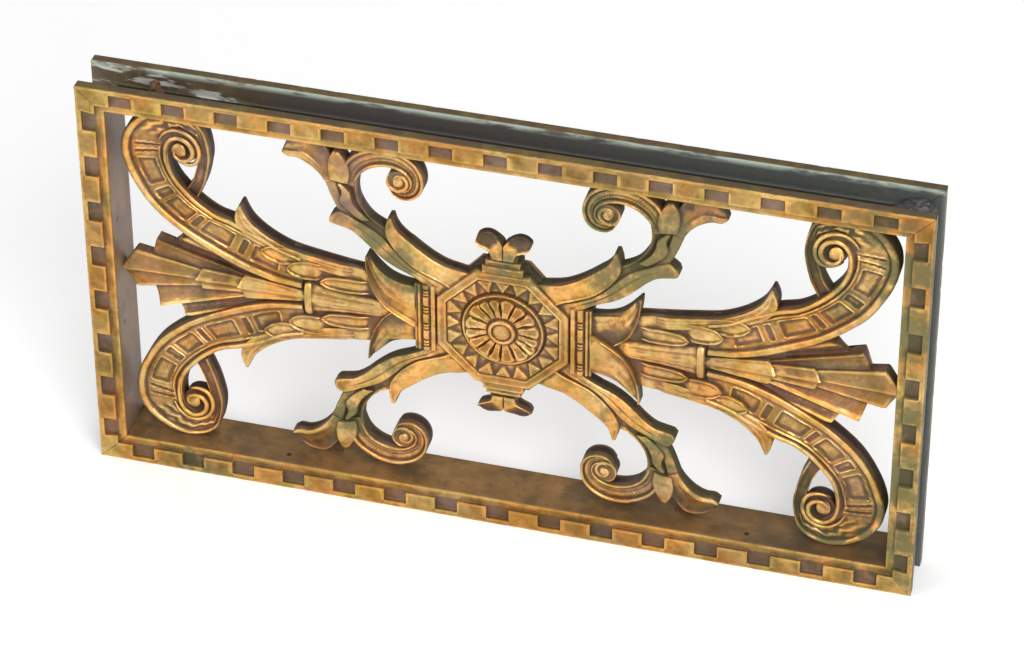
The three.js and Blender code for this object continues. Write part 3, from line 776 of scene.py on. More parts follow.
@dataclass
class Fan:
    """Ribbed fan palmette: three overlapping leaves in the middle and two folded lobes on each side."""

    stages: tuple = ((135, 4.0, 178.5, 9.5, 184.5, 1.0, -0.6), (174, 5.4, 209, 8.3, 214.5, 2.2, 0.6),
                     (204, 5.6, 256.5, 14.8, 266.2, 3.2, 0.8))
    near_lobe: tuple = (
        ((150, -2), (246, 12), 5.4, 5.2), ((158, 1.8), (242.6, 22.8), 5.2, 4.4),
        ((160, 2.6), (241.6, 25.6), 4.4, 2.2), ((161, 3), (240.8, 27.4), 4.2, 1.2),
        ((162, 3.4), (239.2, 26.8), 4.8, 1.8), ((170, 5.5), (231, 23.2), 5.6, 4.6))
    far_lobe: tuple = (
        ((148, 2), (232, 22), 6.4, 6.8), ((149, 4.6), (226, 28.0), 6.0, 5.0),
        ((149.6, 5.6), (223.6, 30.9), 5.0, 1.6), ((150, 6), (222.6, 31.8), 4.8, 0.9),
        ((149.8, 6.8), (221.0, 32.2), 5.2, 1.3), ((148, 12), (209, 36), 5.8, 4.8))

    def middle(self) -> list[Shell]:
        """The three middle leaves, each folded along its ridge and the same above it as below."""
        leaves = []
        for n, (root_u, root_w, side_u, side_w, tip_u, root_sink, tip_sink) in enumerate(self.stages):
            upper = [((root_u, root_w), (side_u, side_w), root_sink + 1.6, tip_sink + 2.6),
                     ((root_u, root_w - 0.5), (side_u + 1.4, side_w - 1.0), root_sink + 1.2, tip_sink + 1.8),
                     ((root_u, 0.5), (tip_u - 0.3, 0.9), root_sink + 0.2, tip_sink + 0.2)]
            ridge = ((root_u, 0.0), (tip_u, 0.0), root_sink - 0.2, tip_sink - 0.3)
            lower = [((a, -b), (c, -d), *sinks) for (a, b), (c, d), *sinks in upper[::-1]]
            leaves.append(folded([*upper, ridge, *lower], CASTING_BACK, hollow=1.5, seed=41 + n))
        return leaves

    def side(self) -> list[Shell]:
        """The two folded lobes of the upper side, each with a fine rib beside its ridge."""
        return [folded(self.near_lobe, CASTING_BACK, hollow=1.3, columns=54, seed=47),
                folded(self.far_lobe, CASTING_BACK, hollow=1.3, columns=48, seed=49)]


@dataclass
class LargeScroll:
    """Large corner scroll: a band with rims and sunk panels, a volute, and scale leaves on its inner side."""

    outer: tuple = ((139, 6.5), (160, 8.8), (180, 15), (198, 23.2), (216, 33), (231, 44), (243, 55.5),
                    (252.5, 70), (259, 84.5), (261.8, 98), (259.5, 110.5), (251.5, 122), (240, 130.3),
                    (226, 133.7), (213, 130.8), (204.5, 123.8), (200.8, 113), (199.6, 101), (201.2, 91),
                    (204.0, 80), (209.5, 66.5))
    inner: tuple = ((139, 32), (154, 37), (168, 45), (184, 52.2), (197, 56), (208.5, 63.5), (218, 73),
                    (224.5, 82), (227.5, 91), (228, 99.5), (226.4, 106), (223, 110.8), (218.5, 113.6),
                    (214, 113.6), (210.2, 111), (208, 106.5), (207.6, 101), (208.4, 95), (210.2, 88.5),
                    (213, 80), (218.6, 70.4))
    long_panels: tuple = ((0.9, 1.95), (2.75, 3.98), (4.65, 5.8), (6.82, 8.45))
    short_panels: tuple = ((2.2, 2.42), (4.18, 4.44), (6.02, 6.5))
    folds: tuple = (8.95, 9.5)
    eye: tuple = (220.6, 103.0)
    curl: tuple = ((228.2, 84), (230.2, 92), (230.4, 99), (229.4, 106), (226.0, 111.6), (220.6, 114.2),
                   (215.0, 112.6), (211.2, 108.0), (210.8, 102.2), (213.8, 98.0), (218.8, 97.0),
                   (223.0, 99.6), (223.4, 104.2))
    curl_sinks: tuple = (1.9, 0.6, 0.2, -0.1, -0.4, -0.6, -0.7, -0.8, -0.9, -1.0, -1.0, -0.8, -0.4)
    roll: tuple = ((235, 108), (231.6, 113.8), (225.4, 118.2), (217.8, 118.6), (210.4, 114.2), (206.8, 106.8),
                   (207.2, 99.6), (210.4, 94.4), (215.4, 92.8), (220.6, 93.6), (225.0, 96.0))
    roll_sinks: tuple = (2.8, 1.9, 1.3, 0.9, 0.8, 0.9, 1.0, 1.3, 1.8, 2.6, 4.4)
    leaves: tuple = (
        (((126, 14), (121, 10.8), (110, 9.2), (95, 9.0), (82, 8.4)),
         ((126.4, 15.4), (122, 19), (111, 20.3), (95, 19.8), (82, 18.8)), -0.6),
        (((149.2, 21), (145, 17), (136, 14.8), (126, 15.5), (112, 18.5)),
         ((149.2, 23), (144.5, 27.5), (134, 29.6), (124, 28.6), (110, 27)), -0.8),
        (((167.2, 32), (162, 27), (153, 24), (144, 25.2), (130, 27)),
         ((167.2, 34), (161, 37.6), (152, 38.2), (143, 36.2), (130, 33)), -0.6))
    hook_outer: tuple = ((181.0, 66.6), (183.6, 60), (183.8, 52.5), (179, 44.5), (168.5, 37.5), (150, 31),
                         (132, 25.5), (112, 21.5), (84, 19))
    hook_inner: tuple = ((179.4, 66.6), (176.8, 60.5), (173.3, 54.5), (166.5, 48), (158.5, 42.6), (146, 37.0),
                         (128, 33.4), (110, 30.6), (84, 27.2))

    def band(self, seed: int) -> Shell:
        """The band, from the husk to the end of the volute.

        Args:
            seed: number that fixes the noise.

        Returns:
            The closed surface.
        """
        spans = len(self.outer) - 1

        def carving(spot: Spot) -> np.ndarray:
            """Rims at both edges, a fillet and groove by the inner one, and sunk panels with thin borders.

            The place along the band is counted in control points. A panel is the product of four smooth
            steps, one at each of its sides, and its border is the same product a little larger.
            """
            place = spot.s * spans
            t = spot.t + 0.012 * value_noise(spot.along, spot.t * 3, 13.0, seed + 3)
            turn = ramp(8.9, 10.2, place)
            rim_out = hump(t, 0.085, 0.095)
            rim_in = hump(t, 0.94, 0.07)
            fillet = hump(t, 0.8, 0.03)
            sink = 2.7 - 2.6 * rim_out - 2.5 * rim_in * (1 - 0.4 * turn) - 1.3 * fillet * (1 - turn)
            sink = sink + 0.8 * hump(t, 0.856, 0.022) * (1 - turn)
            sink = sink + 0.6 * hump(t, 0.196, 0.02) * (1 - 0.6 * turn)
            for start, end in self.long_panels + self.short_panels:
                near, far = np.interp([start / spans, end / spans], spot.s[:, 0], spot.along[:, 0])
                away = box_distance(spot.along - (near + far) / 2, (t - 0.5) * spot.width, (far - near) / 2,
                                    0.205 * spot.width, min(1.6, (far - near) * 0.3))
                away = away + 0.25 * value_noise(spot.along, t * 9, 5.0, seed + 5)
                sink = sink - 0.75 * hump(away, 0.35, 0.55) + 1.15 * ramp(0.1, -0.9, away)
                sink = sink - 0.45 * ramp(-1.2, -4.0, away)
            across = ramp(0.24, 0.34, t) * ramp(0.86, 0.7, t)
            for start in self.folds:
                bent = place - 0.45 * (t - 0.5)
                sink = sink + (1.5 * hump(bent, start, 0.1) - 0.8 * hump(bent, start + 0.15, 0.09)) * across
            wander = t + 0.05 * np.sin(place * 3.1) + 0.03 * np.sin(place * 7.3 + 1.0)
            flutes = 0.75 * np.cos((wander - 0.5) * 24) * hump(t, 0.5, 0.36)
            rolls = ramp(10.0, 10.9, place) * ramp(16.5, 14.5, place)
            tail = 1.0 * ramp(14.5, 17.0, place) * hump(t, 0.5, 0.4) + 1.6 * ramp(19.0, 20.0, place)
            return sink + flutes * rolls + tail
        return ribbon(self.outer, self.inner, carving, CASTING_BACK, step=0.65, columns=60, rounding=1.1,
                      ends=(0, 0.6), rough=0.17, seed=seed)

    def volute(self) -> list[Shell]:
        """Base disc, the inner rim curled round it, and the swollen bulb in its eye."""
        def base(radius: np.ndarray, angle: np.ndarray) -> np.ndarray:
            """Shallow dish."""
            return 3.2 + 0.8 * hump(radius, 0, 9)

        def bulb(radius: np.ndarray, angle: np.ndarray) -> np.ndarray:
            """Low dome."""
            return 1.6 - 2.6 * hump(radius, 0, 6.0) ** 1.2 + 0.1 * value_noise(radius, angle * 3, 1.5, 61)

        def bean(angle: np.ndarray) -> np.ndarray:
            """Oval outline, taller than wide."""
            return 5.2 / np.sqrt(np.cos(angle) ** 2 * 1.2 + np.sin(angle) ** 2 * 0.8)
        return [disc((217.5, 105), lambda a: 10.6 + 0 * a, base, CASTING_BACK, 16, 64),
                disc(self.eye, bean, bulb, 4.0, 22, 64),
                bead_line(self.curl, self.curl_sinks, 1.75, 150),
                bead_line(self.roll, self.roll_sinks, 1.7, 150)]

    def leaf(self, outer: Points, inner: Points, lift: float, seed: int) -> Shell:
        """Scale leaf: a thin raised rim round a slightly hollow blade.

        Args:
            outer: one edge, from tip to root.
            inner: the other edge.
            lift: sink of the rim.
            seed: number that fixes the noise.

        Returns:
            The closed surface.
        """
        def blade(spot: Spot) -> np.ndarray:
            """Thin rim by distance from the nearest edge, hollow inside, sinking away towards the root."""
            near = np.minimum(np.minimum(spot.left, spot.right), spot.along + 0.3)
            rim = 1.3 * hump(near, 0.8, 0.85)
            bow = 0.8 * hump(spot.t, 0.5, 0.5) * ramp(1.5, 4.5, near)
            return lift + 1.9 - rim - bow + 1.9 * spot.s ** 1.5 + 3.0 * ramp(0.66, 0.86, spot.s)
        return ribbon(outer, inner, blade, SCALE_BACK, step=0.76, columns=24, rounding=0.7, ends=(0.8, 0),
                      seed=seed)

    def scales(self, seed: int) -> list[Shell]:
        """Three overlapping scale leaves and the hooked one beyond them.

        Args:
            seed: number that fixes the noise.

        Returns:
            The closed surfaces.
        """
        def sweep(spot: Spot) -> np.ndarray:
            """Smooth blade, bowed near the tip, with a faint rib along its middle."""
            bow = 1.3 * hump(spot.t, 0.5, 0.6) * ramp(0.6, 0.0, spot.s)
            bow = bow + 0.35 * hump(spot.t, 0.62, 0.08)
            return 0.9 - bow + 0.8 * ramp(0.2, 0.9, spot.s) + 3.0 * ramp(0.86, 0.95, spot.s)
        made = [self.leaf(*leaf, seed + 2 * n) for n, leaf in enumerate(self.leaves)]
        hook = ribbon(self.hook_outer, self.hook_inner, sweep, CASTING_BACK, step=0.87, columns=27,
                      rounding=0.9, ends=(0.9, 0), seed=seed + 6)
        return [*made, hook]

    def shells(self, seed: int) -> list[Shell]:
        """The whole scroll in the drawing's first quarter.

        Args:
            seed: number that fixes the noise.

        Returns:
            The closed surfaces.
        """
        return [self.band(seed), *self.volute(), *self.scales(seed + 20)]


@dataclass
class MediumScroll:
    """Medium scroll: an acanthus stem from the medallion, a small volute and a curled foot on the frame."""

    stem_outer: tuple = ((40, 14), (57, 28.5), (66, 33.5), (74, 37), (82, 42), (90, 49), (97, 56), (104, 63),
                         (111, 72), (114.5, 79), (117.5, 86), (120.3, 94), (123.5, 103))
    stem_inner: tuple = ((20, 40), (32, 42), (40, 43.9), (48, 47.7), (56, 53), (64, 59), (73, 64), (82, 67.5),
                         (90, 72.5), (95, 79), (98.3, 86), (99.3, 93.5), (98.5, 101))
    roll_outer: tuple = ((112, 98), (108.5, 110), (104.5, 117.5), (98, 123.4), (90, 127.6), (81, 129.6),
                         (72, 128.8), (64, 125.4), (57.5, 119.6), (53.9, 112), (53.2, 104), (55.6, 97.2),
                         (60.6, 92.6), (67, 91.2), (73, 93.2), (76.6, 98.4))
    roll_inner: tuple = ((100.6, 95), (97.2, 104), (93.5, 108.7), (88.5, 112.2), (82, 114.4), (75.5, 114.8),
                         (70, 113.6), (65.6, 111), (63, 107.4), (62.4, 103.6), (63.8, 100.6), (66.2, 98.8),
                         (68.6, 98.4), (70.6, 99), (72, 100.4), (73, 102.4))
    eye: tuple = (70.2, 104.8)
    spur_outer: tuple = ((30, 22), (40, 28.8), (50, 33.2), (60, 38), (69, 45.4), (76, 54), (79.6, 62),
                         (79.6, 69), (77.8, 75.8))
    spur_inner: tuple = ((20, 40), (32, 42), (40, 43.9), (48, 47.7), (56, 53), (64, 59.4), (70.4, 65),
                         (73.6, 70), (75.4, 75.8))
    stalk_outer: tuple = ((40, 14), (57, 28.5), (66, 33.5), (74, 37), (82, 42), (90, 49), (97, 56),
                          (104, 61), (110.5, 62.8), (116.2, 64.2), (118.6, 67.0))
    stalk_inner: tuple = ((37, 26.5), (50, 32.4), (60, 37.3), (68, 43.6), (75, 51.3), (84, 60.3), (93, 65.8),
                          (99, 68.8), (106, 72.6), (112, 74.4), (117.4, 70.6))
    slim_outer: tuple = ((112, 97), (109.5, 90), (111, 83.5), (107.5, 77.5), (99, 70))
    slim_inner: tuple = ((109.6, 97.4), (103.6, 91), (102.2, 84.5), (99.6, 79), (91, 70))
    tongue_outer: tuple = ((120.6, 96), (124.8, 102.4), (131.4, 108.8), (139.0, 112.4), (145.6, 112.6),
                           (149.6, 115.4))
    tongue_inner: tuple = ((110, 101), (113, 111.5), (118.6, 120.6), (126, 128.8), (137.2, 128.4),
                           (147.4, 121.6))
    lobe_outer: tuple = ((117, 100), (118.4, 108.6), (117.2, 116.4), (113.8, 122.6))
    lobe_inner: tuple = ((104.4, 98), (103.2, 106.6), (105.4, 115), (109.8, 122))
    footing: tuple = (117, 130, 118, 133.7)

    def stem(self, seed: int) -> list[Shell]:
        """The stem: an inner leaf with a spur, an outer stalk with the knob, and the second stage.

        Args:
            seed: number that fixes the noise.

        Returns:
            The closed surfaces.
        """
        spans = len(self.stem_outer) - 1

        def channel(spot: Spot) -> np.ndarray:
            """Second stage: ridges along both edges and a deep hollow on the inner side."""
            place, t = spot.s * spans, spot.t
            hollow = 2.6 * hump(t, 0.66, 0.3) * ramp(6.0, 8.0, place)
            return 2.9 + hollow - 1.0 * hump(t, 0.93, 0.09) - 0.6 * hump(t, 0.2, 0.22) * ramp(7.0, 8.5, place)

        def inner_leaf(spot: Spot) -> np.ndarray:
            """Bowed blade with a thin rim, lifted towards its spur."""
            rim = 0.7 * hump(spot.left, 0.9, 0.9)
            fall = 1.3 * ramp(0.12, 0.0, spot.s)
            return 1.5 - rim - 1.0 * hump(spot.t, 0.55, 0.6) - 0.9 * ramp(0.75, 1.0, spot.s) + fall

        def stalk(spot: Spot) -> np.ndarray:
            """Bowed stalk with a groove beside its middle, swelling into the lip of the knob."""
            groove = 0.7 * hump(spot.t, 0.56, 0.07) * ramp(0.02, 0.12, spot.s) * ramp(0.82, 0.66, spot.s)
            lip = 1.2 * ramp(0.86, 0.98, spot.s)
            return 1.6 + groove - 0.9 * hump(spot.t, 0.4, 0.7) - lip + 1.3 * ramp(0.1, 0.0, spot.s)

        def slim(spot: Spot) -> np.ndarray:
            """Slim bowed leaf that lies on the second stage."""
            return 2.4 - 2.3 * hump(spot.t, 0.5, 0.6) + 1.6 * spot.s ** 3
        plans = ((self.stem_outer, self.stem_inner, channel, 1.0, 35, 1.4, (0, 0)),
                 (self.spur_outer, self.spur_inner, inner_leaf, 0.87, 27, 1.1, (0, 1.2)),
                 (self.stalk_outer, self.stalk_inner, stalk, 0.87, 27, 1.2, (0, 1.5)),
                 (self.slim_outer, self.slim_inner, slim, 0.76, 19, 0.7, (0.8, 0)))
        return [ribbon(outer, inner, profile, STEM_BACK, step=step, columns=columns, rounding=rounding,
                       ends=ends, seed=seed + n)
                for n, (outer, inner, profile, step, columns, rounding, ends) in enumerate(plans)]

    def roll(self, seed: int) -> Shell:
        """The small volute: raised rims, a channel between them and fine hatching across it.

        Args:
            seed: number that fixes the noise.

        Returns:
            The closed surface.
        """
        spans = len(self.roll_outer) - 1

        def carving(spot: Spot) -> np.ndarray:
            """Rims by share of the width, a swelling roll in the channel, and a wave along the length."""
            place, t = spot.s * spans, spot.t
            start = ramp(0.0, 1.6, place)
            rims = 2.5 * hump(t, 0.11, 0.13) + 2.1 * hump(t, 0.9, 0.1)
            roll = 0.9 * hump(t, 0.42, 0.16) + 0.6 * hump(t, 0.66, 0.08)
            patchy = np.clip(0.4 + 0.9 * value_noise(spot.along, t * 6, 7.0, seed + 9), 0, 1)
            hatch = 0.3 * np.cos(spot.along * 2 * math.pi / 1.9) * hump(t, 0.5, 0.3) * ramp(1.5, 3.5, place)
            return 3.1 - start * (rims + roll) - hatch * patchy * ramp(15, 12, place)
        return ribbon(self.roll_outer, self.roll_inner, carving, CASTING_BACK, step=0.76, columns=35,
                      rounding=1.0, ends=(0, 0.5), seed=seed)

    def foot(self, seed: int) -> list[Shell]:
        """Curled leaf tongue on the frame, the small lobe beside it, and the seat that joins the frame.

        Args:
            seed: number that fixes the noise.

        Returns:
            The closed surfaces.
        """
        def tongue(spot: Spot) -> np.ndarray:
            """Rounded along the edge away from the frame, falling back in a hollow towards the frame."""
            reach = ramp(0.1, 0.45, spot.s)
            hollow = 1.2 * hump(spot.t, 0.55, 0.4) + 1.9 * ramp(0.3, 1.0, spot.t)
            return 1.6 - 1.5 * hump(spot.t, 0.14, 0.17) * reach + hollow * reach

        def small(spot: Spot) -> np.ndarray:
            """Bowed blade."""
            return 2.0 - 2.0 * hump(spot.t, 0.45, 0.6)
        made = [ribbon(self.tongue_outer, self.tongue_inner, tongue, STEM_BACK, step=0.76, columns=35,
                       rounding=1.1, ends=(0, 1.4), seed=seed),
                ribbon(self.lobe_outer, self.lobe_inner, small, STEM_BACK, step=0.76, columns=23,
                       rounding=1.1, ends=(0, 1.6), seed=seed + 1)]
        return [*made, panel_block(self.footing, lambda u, w: 9.6 + 0 * u, CASTING_BACK, step=1.5)]

    def boss(self) -> list[Shell]:
        """Eye of the small volute: a domed knob with a dimple, inside a groove."""
        def dome(radius: np.ndarray, angle: np.ndarray) -> np.ndarray:
            """A ring round a low dome."""
            turn = hump((radius - angle * 0.9) % 5.6, 2.8, 1.5)
            return 2.4 - 1.2 * turn * ramp(1.5, 3.5, radius) - 2.3 * hump(radius, 0, 3.6)
        return [disc(self.eye, lambda a: 8.4 + 0 * a, dome, CASTING_BACK, 24, 60)]

    def shells(self, seed: int) -> list[Shell]:
        """The whole scroll in the drawing's first quarter.

        Args:
            seed: number that fixes the noise.

        Returns:
            The closed surfaces.
        """
        return [*self.stem(seed), self.roll(seed + 4), *self.foot(seed + 6), *self.boss()]


@dataclass
class ReliefMap:
    """Height of the casting's front over the panel, from which dirt and painted shade in hollows, and rubbing
    and painted highlights on crests, are worked out.
    """

    cell: float = 0.7
    open_sink: float = 3.6
    nowhere: float = 50.0
    height: np.ndarray = field(default_factory=lambda: np.zeros((1, 1)))

    def fill(self, shells: list[Shell]) -> None:
        """Writes the nearest Y of all points into cells, and closes pinholes with a smallest-of-nine pass.

        Args:
            shells: all surfaces of the casting.
        """
        size = (int(HEIGHT / self.cell) + 2, int(WIDTH / self.cell) + 2)
        open_y = CREST_Y + self.open_sink
        field_y = np.full(size, self.nowhere)
        for shell in shells:
            row, column = self.cells(shell.points)
            np.minimum.at(field_y, (row, column), shell.points[:, 1])
        padded = np.pad(field_y, 1, mode="edge")
        nine = [padded[i:i + size[0], j:j + size[1]] for i in range(3) for j in range(3)]
        closed = np.where(field_y >= self.nowhere, np.min(nine, axis=0), field_y)
        self.height = np.where(closed >= self.nowhere, open_y, np.minimum(closed, open_y))

    def cells(self, points: np.ndarray) -> tuple[np.ndarray, np.ndarray]:
        """Row and column of the cell that each point falls in."""
        row = np.clip((points[:, 2] / self.cell).astype(int), 0, int(HEIGHT / self.cell) + 1)
        column = np.clip(((points[:, 0] + WIDTH / 2) / self.cell).astype(int), 0, int(WIDTH / self.cell) + 1)
        return row, column

    def blurred(self, reach: float) -> np.ndarray:
        """Mean height in a square of the given reach, taken twice, by running sums.

        Args:
            reach: half the side of the square in millimetres.

        Returns:
            The blurred field.
        """
        n = max(1, int(round(reach / self.cell)))
        out = self.height
        for axis in (0, 1, 0, 1):
            pad = [(n + 1, n) if k == axis else (0, 0) for k in (0, 1)]
            total = np.cumsum(np.pad(out, pad, mode="edge"), axis=axis)
            high = np.take(total, np.arange(2 * n + 1, total.shape[axis]), axis=axis)
            low = np.take(total, np.arange(0, total.shape[axis] - 2 * n - 1), axis=axis)
            out = (high - low) / (2 * n + 1)
        return out

    def depth_below(self, points: np.ndarray, reach: float) -> np.ndarray:
        """How far each point lies behind the mean front around it; negative on crests.

        Args:
            points: points of the casting.
            reach: half-width of the neighbourhood in millimetres.

        Returns:
            One length for each point.
        """
        row, column = self.cells(points)
        return points[:, 1] - self.blurred(reach)[row, column]


def patch(points: np.ndarray, spots: Sequence[Sequence[float]]) -> np.ndarray:
    """Weight of stains: the largest of round bells exp(-(distance / radius) squared) times their strength.

    Args:
        points: points in millimetres.
        spots: X, Z, radius and strength of each stain.

    Returns:
        Weights from 0 to 1.
    """
    weight = np.zeros(len(points))
    for x, z, radius, strength in spots:
        square = ((points[:, 0] - x) ** 2 + (points[:, 2] - z) ** 2) / radius ** 2
        weight = np.maximum(weight, strength * np.exp(-square))
    return weight


GREEN_SPOTS = (
    (-72, 190, 20, 0.95), (-90, 212, 18, 0.85), (-112, 224, 12, 0.6), (95, 225, 30, 1.0), (72, 240, 22, 0.85),
    (75, 205, 22, 0.8), (60, 185, 16, 0.5), (115, 75, 26, 0.8), (150, 45, 20, 0.6), (225, 215, 26, 0.5),
    (205, 245, 22, 0.8), (-60, 178, 9, 0.8), (-52, 150, 12, 0.45), (-80, 110, 24, 0.75),
    (-105, 60, 26, 0.85), (-118, 95, 18, 0.5), (-60, 125, 12, 0.7), (80, 200, 30, 0.55), (110, 245, 32, 0.95),
    (62, 262, 22, 0.7), (140, 270, 20, 0.5), (0, 205, 22, 0.65), (25, 195, 14, 0.6), (262, 252, 15, 0.95),
    (248, 272, 14, 0.9), (222, 285, 14, 0.85), (203, 276, 12, 0.9), (201, 255, 10, 0.95), (206, 236, 10, 0.8),
    (226, 226, 11, 0.8), (256, 226, 14, 0.8), (238, 244, 9, 0.6), (222, 240, 8, 0.7), (75, 95, 30, 0.5),
    (108, 62, 26, 0.7), (130, 40, 18, 0.5), (262, 55, 15, 0.9), (252, 32, 13, 0.85), (228, 20, 13, 0.9),
    (206, 28, 10, 0.9), (202, 50, 10, 0.8), (205, 68, 9, 0.9), (240, 50, 12, 0.5), (-150, 172, 10, 0.4),
    (150, 150, 30, 0.35), (100, 160, 16, 0.45), (-232, 188, 8, 0.8), (-205, 40, 16, 0.3),
    (-240, 30, 18, 0.45), (40, 175, 14, 0.4), (0, 92, 18, 0.35))
LILAC_SPOTS = (
    (-108, 235, 18, 0.9), (-120, 258, 14, 0.9), (-100, 262, 18, 0.6), (130, 262, 20, 0.6), (-85, 45, 18, 0.6),
    (-240, 150, 30, 0.2), (100, 45, 20, 0.5), (-220, 270, 24, 0.35), (235, 60, 20, 0.4), (-42, 140, 10, 0.5))


@dataclass
class Mask:
    """Names of the point attributes that the finishes read."""

    fine: str = "fine_depth"
    broad: str = "broad_depth"
    green: str = "green_stain"
    lilac: str = "lilac_stain"


def make_object(name: str, shells: list[Shell], masks: dict[str, np.ndarray]) -> bpy.types.Object:
    """Joins closed surfaces into one mesh object at the origin, with point attributes.

    Args:
        name: name of the object.
        shells: closed surfaces in millimetres.
        masks: attribute name to one value for each point, in the order of the surfaces.

    Returns:
        The new object, linked to the scene.
    """
    points = np.vstack([shell.points for shell in shells]) * MM
    starts = np.cumsum([0] + [len(shell.points) for shell in shells[:-1]])
    blocks = [block + start for shell, start in zip(shells, starts) for block in shell.faces if len(block)]
    corners = np.concatenate([block.ravel() for block in blocks])
    totals = np.concatenate([np.full(len(block), block.shape[1]) for block in blocks])
    mesh = bpy.data.meshes.new(name)
    mesh.vertices.add(len(points))
    mesh.vertices.foreach_set("co", points.astype(np.float32).ravel())
    mesh.loops.add(len(corners))
    mesh.loops.foreach_set("vertex_index", corners.astype(np.int32))
    mesh.polygons.add(len(totals))
    mesh.polygons.foreach_set("loop_start", np.concatenate([[0], np.cumsum(totals)[:-1]]).astype(np.int32))
    mesh.polygons.foreach_set("use_smooth", np.ones(len(totals), bool))
    mesh.update(calc_edges=True)
    mesh.validate()
    mesh.set_sharp_from_angle(angle=math.radians(SHARP_DEGREES))
    for key, values in masks.items():
        layer = mesh.attributes.new(key, "FLOAT", "POINT")
        layer.data.foreach_set("value", values.astype(np.float32))
    obj = bpy.data.objects.new(name, mesh)
    bpy.context.scene.collection.objects.link(obj)
    triangles = int(np.sum(totals - 2))
    log.info("%s: %d triangles", name, triangles)
    return obj


def seat(obj: bpy.types.Object, material: bpy.types.Material, slot: Slot, *nodes: str) -> None:
    """Gives a piece its material and the body it rides on, and hides the nodes that it stands for.

    Args:
        obj: the piece.
        material: its finish.
        slot: not used.
        nodes: nodes that it replaces.
    """
    obj.data.materials.append(material)
    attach(obj, "root")
    if nodes:
        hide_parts(*nodes)


@dataclass
class Casting:
    """The whole casting: builds each ornament, works out dirt and painted shade in hollows and rubbing and
    painted highlights on crests, and dresses the pieces.
    """

    medallion: Medallion = field(default_factory=Medallion)
    pediment: Pediment = field(default_factory=Pediment)
    collar: Collar = field(default_factory=Collar)
    calyx: Calyx = field(default_factory=Calyx)
    fan: Fan = field(default_factory=Fan)
    large: LargeScroll = field(default_factory=LargeScroll)
    medium: MediumScroll = field(default_factory=MediumScroll)
    mask: Mask = field(default_factory=Mask)
    near_reach: float = 1.4
    far_reach: float = 6.0
    # How deep openings count in the fans, so that painted shade gathers beside them
    fan_open_sink: float = 7.5
    fan_from: tuple[float, float] = (140.0, 165.0)
    rear_from: tuple[float, float] = (CREST_Y + 9.0, CREST_Y + 9.9)

    def side_group(self, right: bool) -> list[Shell]:
        """Collar, crossed calyx leaves, husk, root and fan of one side.

        Args:
            right: True for the right side.

        Returns:
            The closed surfaces in place.
        """
        above = Quarter.UPPER_RIGHT if right else Quarter.UPPER_LEFT
        below = Quarter.LOWER_RIGHT if right else Quarter.LOWER_LEFT
        collar = Collar(pitch=17.0, shift=-3.7) if right else self.collar
        both = [*collar.shells(), *self.calyx.husk(), *self.fan.middle()]
        shells = [shell.placed(above) for shell in both]
        front, rear = self.calyx.leaf(-0.6, 33), self.calyx.leaf(0.8, 35, covered=2.2)
        shells.append((rear if right else front).placed(above))
        shells.append((front if right else rear).placed(below))
        for shell in (self.calyx.root(), *self.fan.side()):
            shells += [shell.placed(above), shell.placed(below)]
        return shells

    def groups(self) -> dict[str, list[Shell]]:
        """Each piece's name and surfaces."""
        top, bottom = Quarter.UPPER_RIGHT, Quarter.LOWER_RIGHT
        parts = {"medallion": [shell.placed(top) for shell in self.medallion.shells()],
                 "pediment_top": [shell.placed(top) for shell in self.pediment.shells()],
                 "pediment_bottom": [shell.placed(bottom) for shell in self.pediment.shells()],
                 "palmette_left": self.side_group(False),
                 "palmette_right": self.side_group(True)}
        for n, quarter in enumerate(Quarter):
            name = quarter.name.lower()
            parts[f"large_scroll_{name}"] = [s.placed(quarter) for s in self.large.shells(100 + 40 * n)]
            parts[f"medium_scroll_{name}"] = [s.placed(quarter) for s in self.medium.shells(300 + 40 * n)]
        for number, shell in enumerate(shell for shells in parts.values() for shell in shells):
            shell.set_back(BACK_SPREAD * (number * BACK_SHARE % 1))
        return parts

    def build(self, material: bpy.types.Material) -> None:
        """Makes every piece of the casting.

        Dirt and painted shade are the depth behind a blurred front, near and far; crests stand out of it as
        rubbing with painted highlights. Out in the fans it is taken from a second front, one that counts
        openings as deeper, so that painted shade gathers beside the openings.

        Args:
            material: the casting's finish.
        """
        parts = self.groups()
        relief, fan_relief = ReliefMap(), ReliefMap(open_sink=self.fan_open_sink)
        for front in (relief, fan_relief):
            front.fill([shell for shells in parts.values() for shell in shells])
        for name, shells in parts.items():
            points = np.vstack([shell.points for shell in shells])
            spared = ramp(*self.fan_from, np.abs(points[:, 0])) if name.startswith("palmette") else 0.0
            rear = ramp(*self.rear_from, points[:, 1])
            # Positive depth darkens as dirt with painted shade; negative depth on crests brightens as rubbing
            # with a painted highlight
            fine = relief.depth_below(points, self.near_reach) * (1 - spared)
            fine = fine + fan_relief.depth_below(points, self.near_reach) * spared
            broad = relief.depth_below(points, self.far_reach) * (1 - spared)
            broad = broad + fan_relief.depth_below(points, self.far_reach) * spared * 0.6
            masks = {self.mask.fine: fine * (1 - rear) + 0.15 * rear,
                     self.mask.broad: broad * (1 - rear) + 0.6 * rear,
                     self.mask.green: patch(points, GREEN_SPOTS),
                     self.mask.lilac: patch(points, LILAC_SPOTS)}
            seat(make_object(name, shells, masks), material, Slot.CASTING, "grille_casting")


class Side(Enum):
    """Frame bars: name of the node, and whether the bar stands upright."""

    BOTTOM = ("frame_bar_bottom", False)
    TOP = ("frame_bar_top", False)
    LEFT = ("frame_bar_left", True)
    RIGHT = ("frame_bar_right", True)


